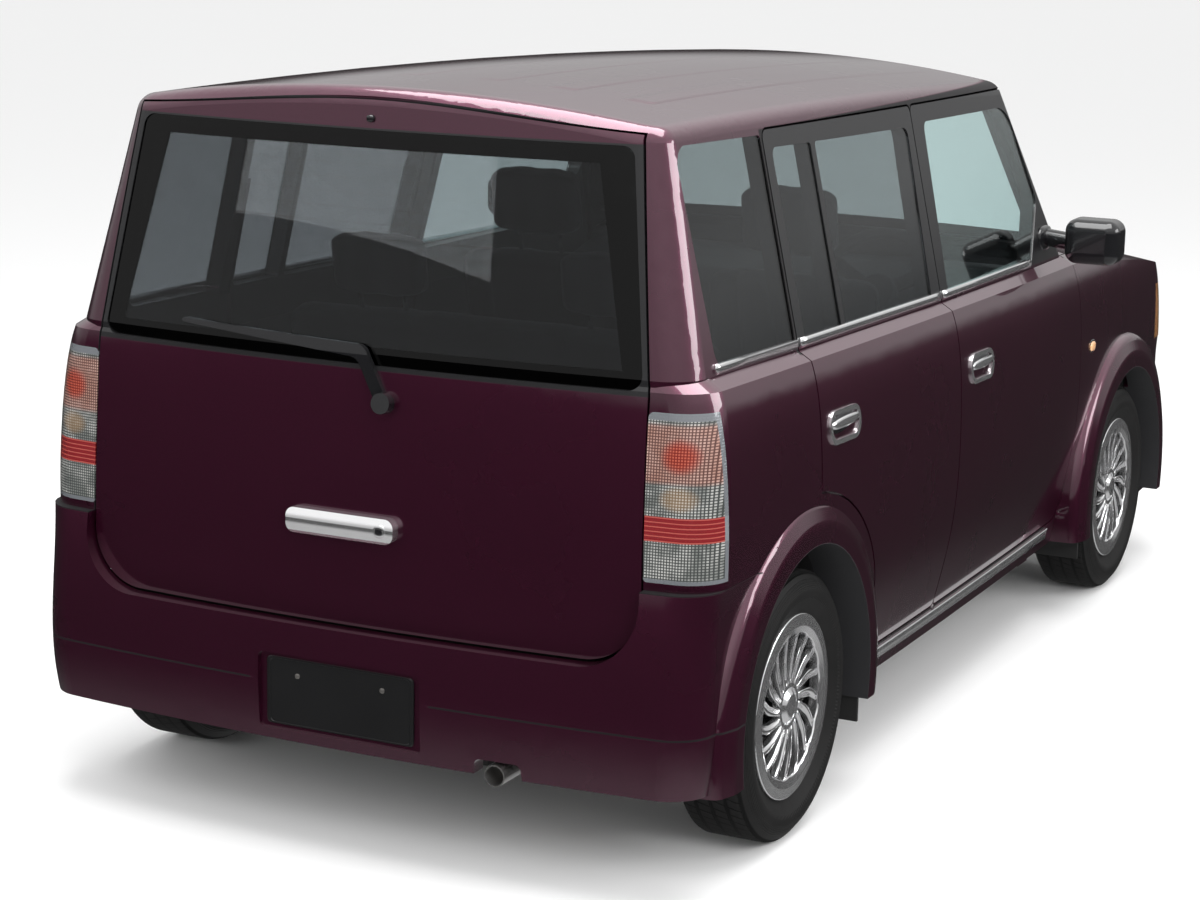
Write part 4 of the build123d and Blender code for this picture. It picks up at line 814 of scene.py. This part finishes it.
for side, sign in SIDES:
    door = f"door_front_{side}"
    skin = side_hit(surface(door), sign, -0.556, 1.112)
    place = (skin - 0.001 * sign, -0.556, 1.114)
    dome(f"mirror_foot_{side}", place, (sign, 0, 0), (0.052, 0.036, 0.012), TRIM_GLOSS, door)
    for row in AXLES:
        door = f"door_{row}_{side}"
        low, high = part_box(f"door_{row}_handle_{side}")
        middle = (low + high) / 2
        face = max(abs(low.x), abs(high.x))
        bar = ((face - 0.006) * sign, middle.y, middle.z + 0.008)
        cup = ((face - 0.0105) * sign, middle.y, middle.z)
        dome(f"handle_bar_{row}_{side}", bar, (sign, 0, 0), (0.080, 0.0125, 0.006), CHROME, door)
        dome(f"handle_cup_{row}_{side}", cup, (sign, 0, 0), (0.074, 0.027, 0.003), TRIM_GLOSS, door)


# ---------------------------------------------------------------- lower intake and fog lamps
def mesh_look():
    """Black diamond mesh moulded in plastic."""
    made, graph, shader = material("intake_mesh")
    _, x, _, z, *_ = graph.where()
    one = graph.math("SINE", graph.times(graph.plus(x, z), 260.0))
    two = graph.math("SINE", graph.times(graph.minus(x, z), 260.0))
    wires = graph.step(graph.either(one, two), 0.70, 0.90)
    # Painted shade: between the wires the mesh is near black, for the dark behind it.
    graph.put(shader.inputs["Base Color"], graph.mix(wires, rgb(0.002, 0.002, 0.002), rgb(0.03, 0.03, 0.032)))
    shader.inputs["Roughness"].default_value = 0.5
    graph.put(shader.inputs["Normal"], graph.bump(wires, 0.8, 0.003))
    return made


UNDER_INTAKE = 0.236
OVER_INTAKE = 0.430
INTAKE_MIDDLE = 0.331
INTAKE = [(-0.462, 0.256, 0.03), (0.462, 0.256, 0.03), (0.437, 0.406, 0.03), (-0.437, 0.406, 0.03)]
bumper = surface("front_bumper")


def behind_bumper(x, z):
    """How far forward the bumper's skin is, between its strips under and over the intake."""
    under = end_hit(bumper, -1, x, UNDER_INTAKE)
    over = end_hit(bumper, -1, x, OVER_INTAKE)
    return under + (over - under) * (z - UNDER_INTAKE) / (OVER_INTAKE - UNDER_INTAKE)


outline = soft_corners(INTAKE)
rings = []
for back, pull in ((0.022, 1.04), (0.016, 1.04), (0.014, 1.03), (0.014, 0.02)):
    ring = []
    for point in outline:
        x, z = point.x * pull, INTAKE_MIDDLE + (point.y - INTAKE_MIDDLE) * pull
        ring.append((x, behind_bumper(x, z) + back, z))
    rings.append(ring)
finish_mesh("intake_grille", sweep(rings), mesh_look(), "body", smooth=False)

FOG = grained("fog_lens", (0.55, 0.56, 0.58), 0.12, 90, 0.3, 0.2, 0.7, 1.0)
for side, sign in SIDES:
    x = 0.610 * sign
    dome(f"fog_lamp_{side}", (x, -1.755, 0.372), (0, -1, 0), (0.064, 0.064, 0.016), FOG, "body")
    dome(f"fog_backing_{side}", (x, -1.745, 0.372), (0, -1, 0), (0.072, 0.072, 0.008), TRIM, "body")

# ---------------------------------------------------------------- tailgate and plate details
REARWARD = (0, 1, 0)
nozzle = (0.0, end_hit(surface("tailgate"), 1, 0.0, 1.572), 1.572)
dome("washer_nozzle", nozzle, REARWARD, (0.009, 0.008, 0.009), TRIM_GLOSS, "tailgate")
lock_y = end_hit(surface("tailgate_handle"), 1, -0.092, 0.727)
dome("lock_ring", (-0.092, lock_y, 0.727), REARWARD, (0.014, 0.014, 0.003), CHROME, "tailgate")
dome("lock_core", (-0.092, lock_y + 0.0012, 0.727), REARWARD, (0.009, 0.009, 0.003), TRIM_GLOSS, "tailgate")

PLATE = grained("plate_black", (0.006, 0.006, 0.0065), 0.35, 200, 0.05, 0.3, coat=0.3)
PLATE_STEPS = ((0.0005, 1.0), (0.0035, 1.0), (0.0045, 0.985),
               (0.0045, 0.955), (0.0030, 0.945), (0.0030, 0.10))
plate_y = end_hit(surface("rear_bumper"), 1, 0.0, 0.345)
plate_steps = [(plate_y + shift, share) for shift, share in PLATE_STEPS]
plate = soft_slab((-0.182, 0.272), (0.182, 0.422), 0.012, plate_steps)
finish_mesh("number_plate", plate, PLATE, "body", smooth=False)
for side, sign in SIDES:
    place = (0.105 * sign, plate_y + 0.003, 0.385)
    dome(f"plate_screw_{side}", place, REARWARD, (0.006, 0.006, 0.0025), STEEL, "body")

# ---------------------------------------------------------------- floor, light and camera
floor_look, g, floor_shader = material("floor_pale")
tone = g.mix(g.times(g.noise(0.8, 3.0), 0.12), rgb(0.985, 0.985, 0.985), rgb(0.955, 0.955, 0.96))
g.put(floor_shader.inputs["Base Color"], tone)
floor_shader.inputs["Roughness"].default_value = 0.75
mesh = bmesh.new()
bmesh.ops.create_circle(mesh, cap_ends=True, segments=96, radius=90.0)
data = bpy.data.meshes.new("floor")
mesh.to_mesh(data)
mesh.free()
data.materials.append(floor_look)
floor = bpy.data.objects.new("floor", data)
bpy.context.scene.collection.objects.link(floor)
floor.visible_glossy = False
floor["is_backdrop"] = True

world = bpy.data.worlds.new("studio")
bpy.context.scene.world = world
world.use_nodes = True
g = Graph(world.node_tree)
back = world.node_tree.nodes["Background"]
rays = g.add("ShaderNodeLightPath").outputs
height = g.add("ShaderNodeSeparateXYZ", {0: g.add("ShaderNodeTexCoord").outputs["Generated"]}).outputs[2]
sky = g.blend(g.step(height, -0.62, -0.30), 0.40, 0.025)
sky = g.blend(g.step(height, -0.02, 0.05), sky, 0.42)
sky = g.blend(g.step(height, 0.10, 0.60), sky, 0.95)
level = g.blend(rays["Is Glossy Ray"], 0.90, sky)
level = g.blend(rays["Is Transmission Ray"], level, 0.70)
level = g.blend(rays["Is Camera Ray"], level, 1.0)
g.put(back.inputs["Color"], g.add("ShaderNodeCombineXYZ", {0: level, 1: level, 2: level}).outputs[0])


def softbox(name, place, target, wide, high, power, glossy=True):
    light = bpy.data.lights.new(name, "AREA")
    light.shape = "RECTANGLE"
    light.size, light.size_y, light.energy = wide, high, power
    lamp = bpy.data.objects.new(name, light)
    lamp.location = place
    lamp.rotation_euler = (Vector(target) - Vector(place)).to_track_quat("-Z", "Y").to_euler()
    lamp.visible_glossy = glossy
    bpy.context.scene.collection.objects.link(lamp)


softbox("overhead", (-0.5, 0.8, 4.6), (0, 0, 0.8), 4.5, 3.2, 230)
softbox("rear_key", (-5.5, 5.5, 4.2), (0, 0.6, 0.7), 3.5, 2.0, 200, False)
softbox("side_fill", (-6.5, -2.0, 3.0), (0, 0, 0.7), 4.0, 2.0, 120)
softbox("rear_fill", (3.5, 7.5, 3.2), (0, 1.5, 0.8), 3.0, 2.0, 110, False)

lens = bpy.data.cameras.new("camera")
lens.sensor_width = 36.0
lens.lens = 82.26
lens.clip_end = 300.0
camera = bpy.data.objects.new("camera", lens)
forward = Vector((0.43036, -0.87772, -0.21071)).normalized()
right = forward.cross(Vector((0, 0, 1))).normalized()
up = right.cross(forward)
roll = math.radians(1.108)
right, up = right * math.cos(roll) + up * math.sin(roll), up * math.cos(roll) - right * math.sin(roll)
camera.matrix_world = Matrix((right, up, -forward)).transposed().to_4x4()
camera.location = (-2.9461, 6.6758, 2.1066)
bpy.context.scene.collection.objects.link(camera)
bpy.context.scene.camera = camera
bpy.context.scene.view_settings.view_transform = "Standard"

low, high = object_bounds()
{"cad": [list(CAD_LOW), list(CAD_HIGH)], "visual": [list(low), list(high)]}
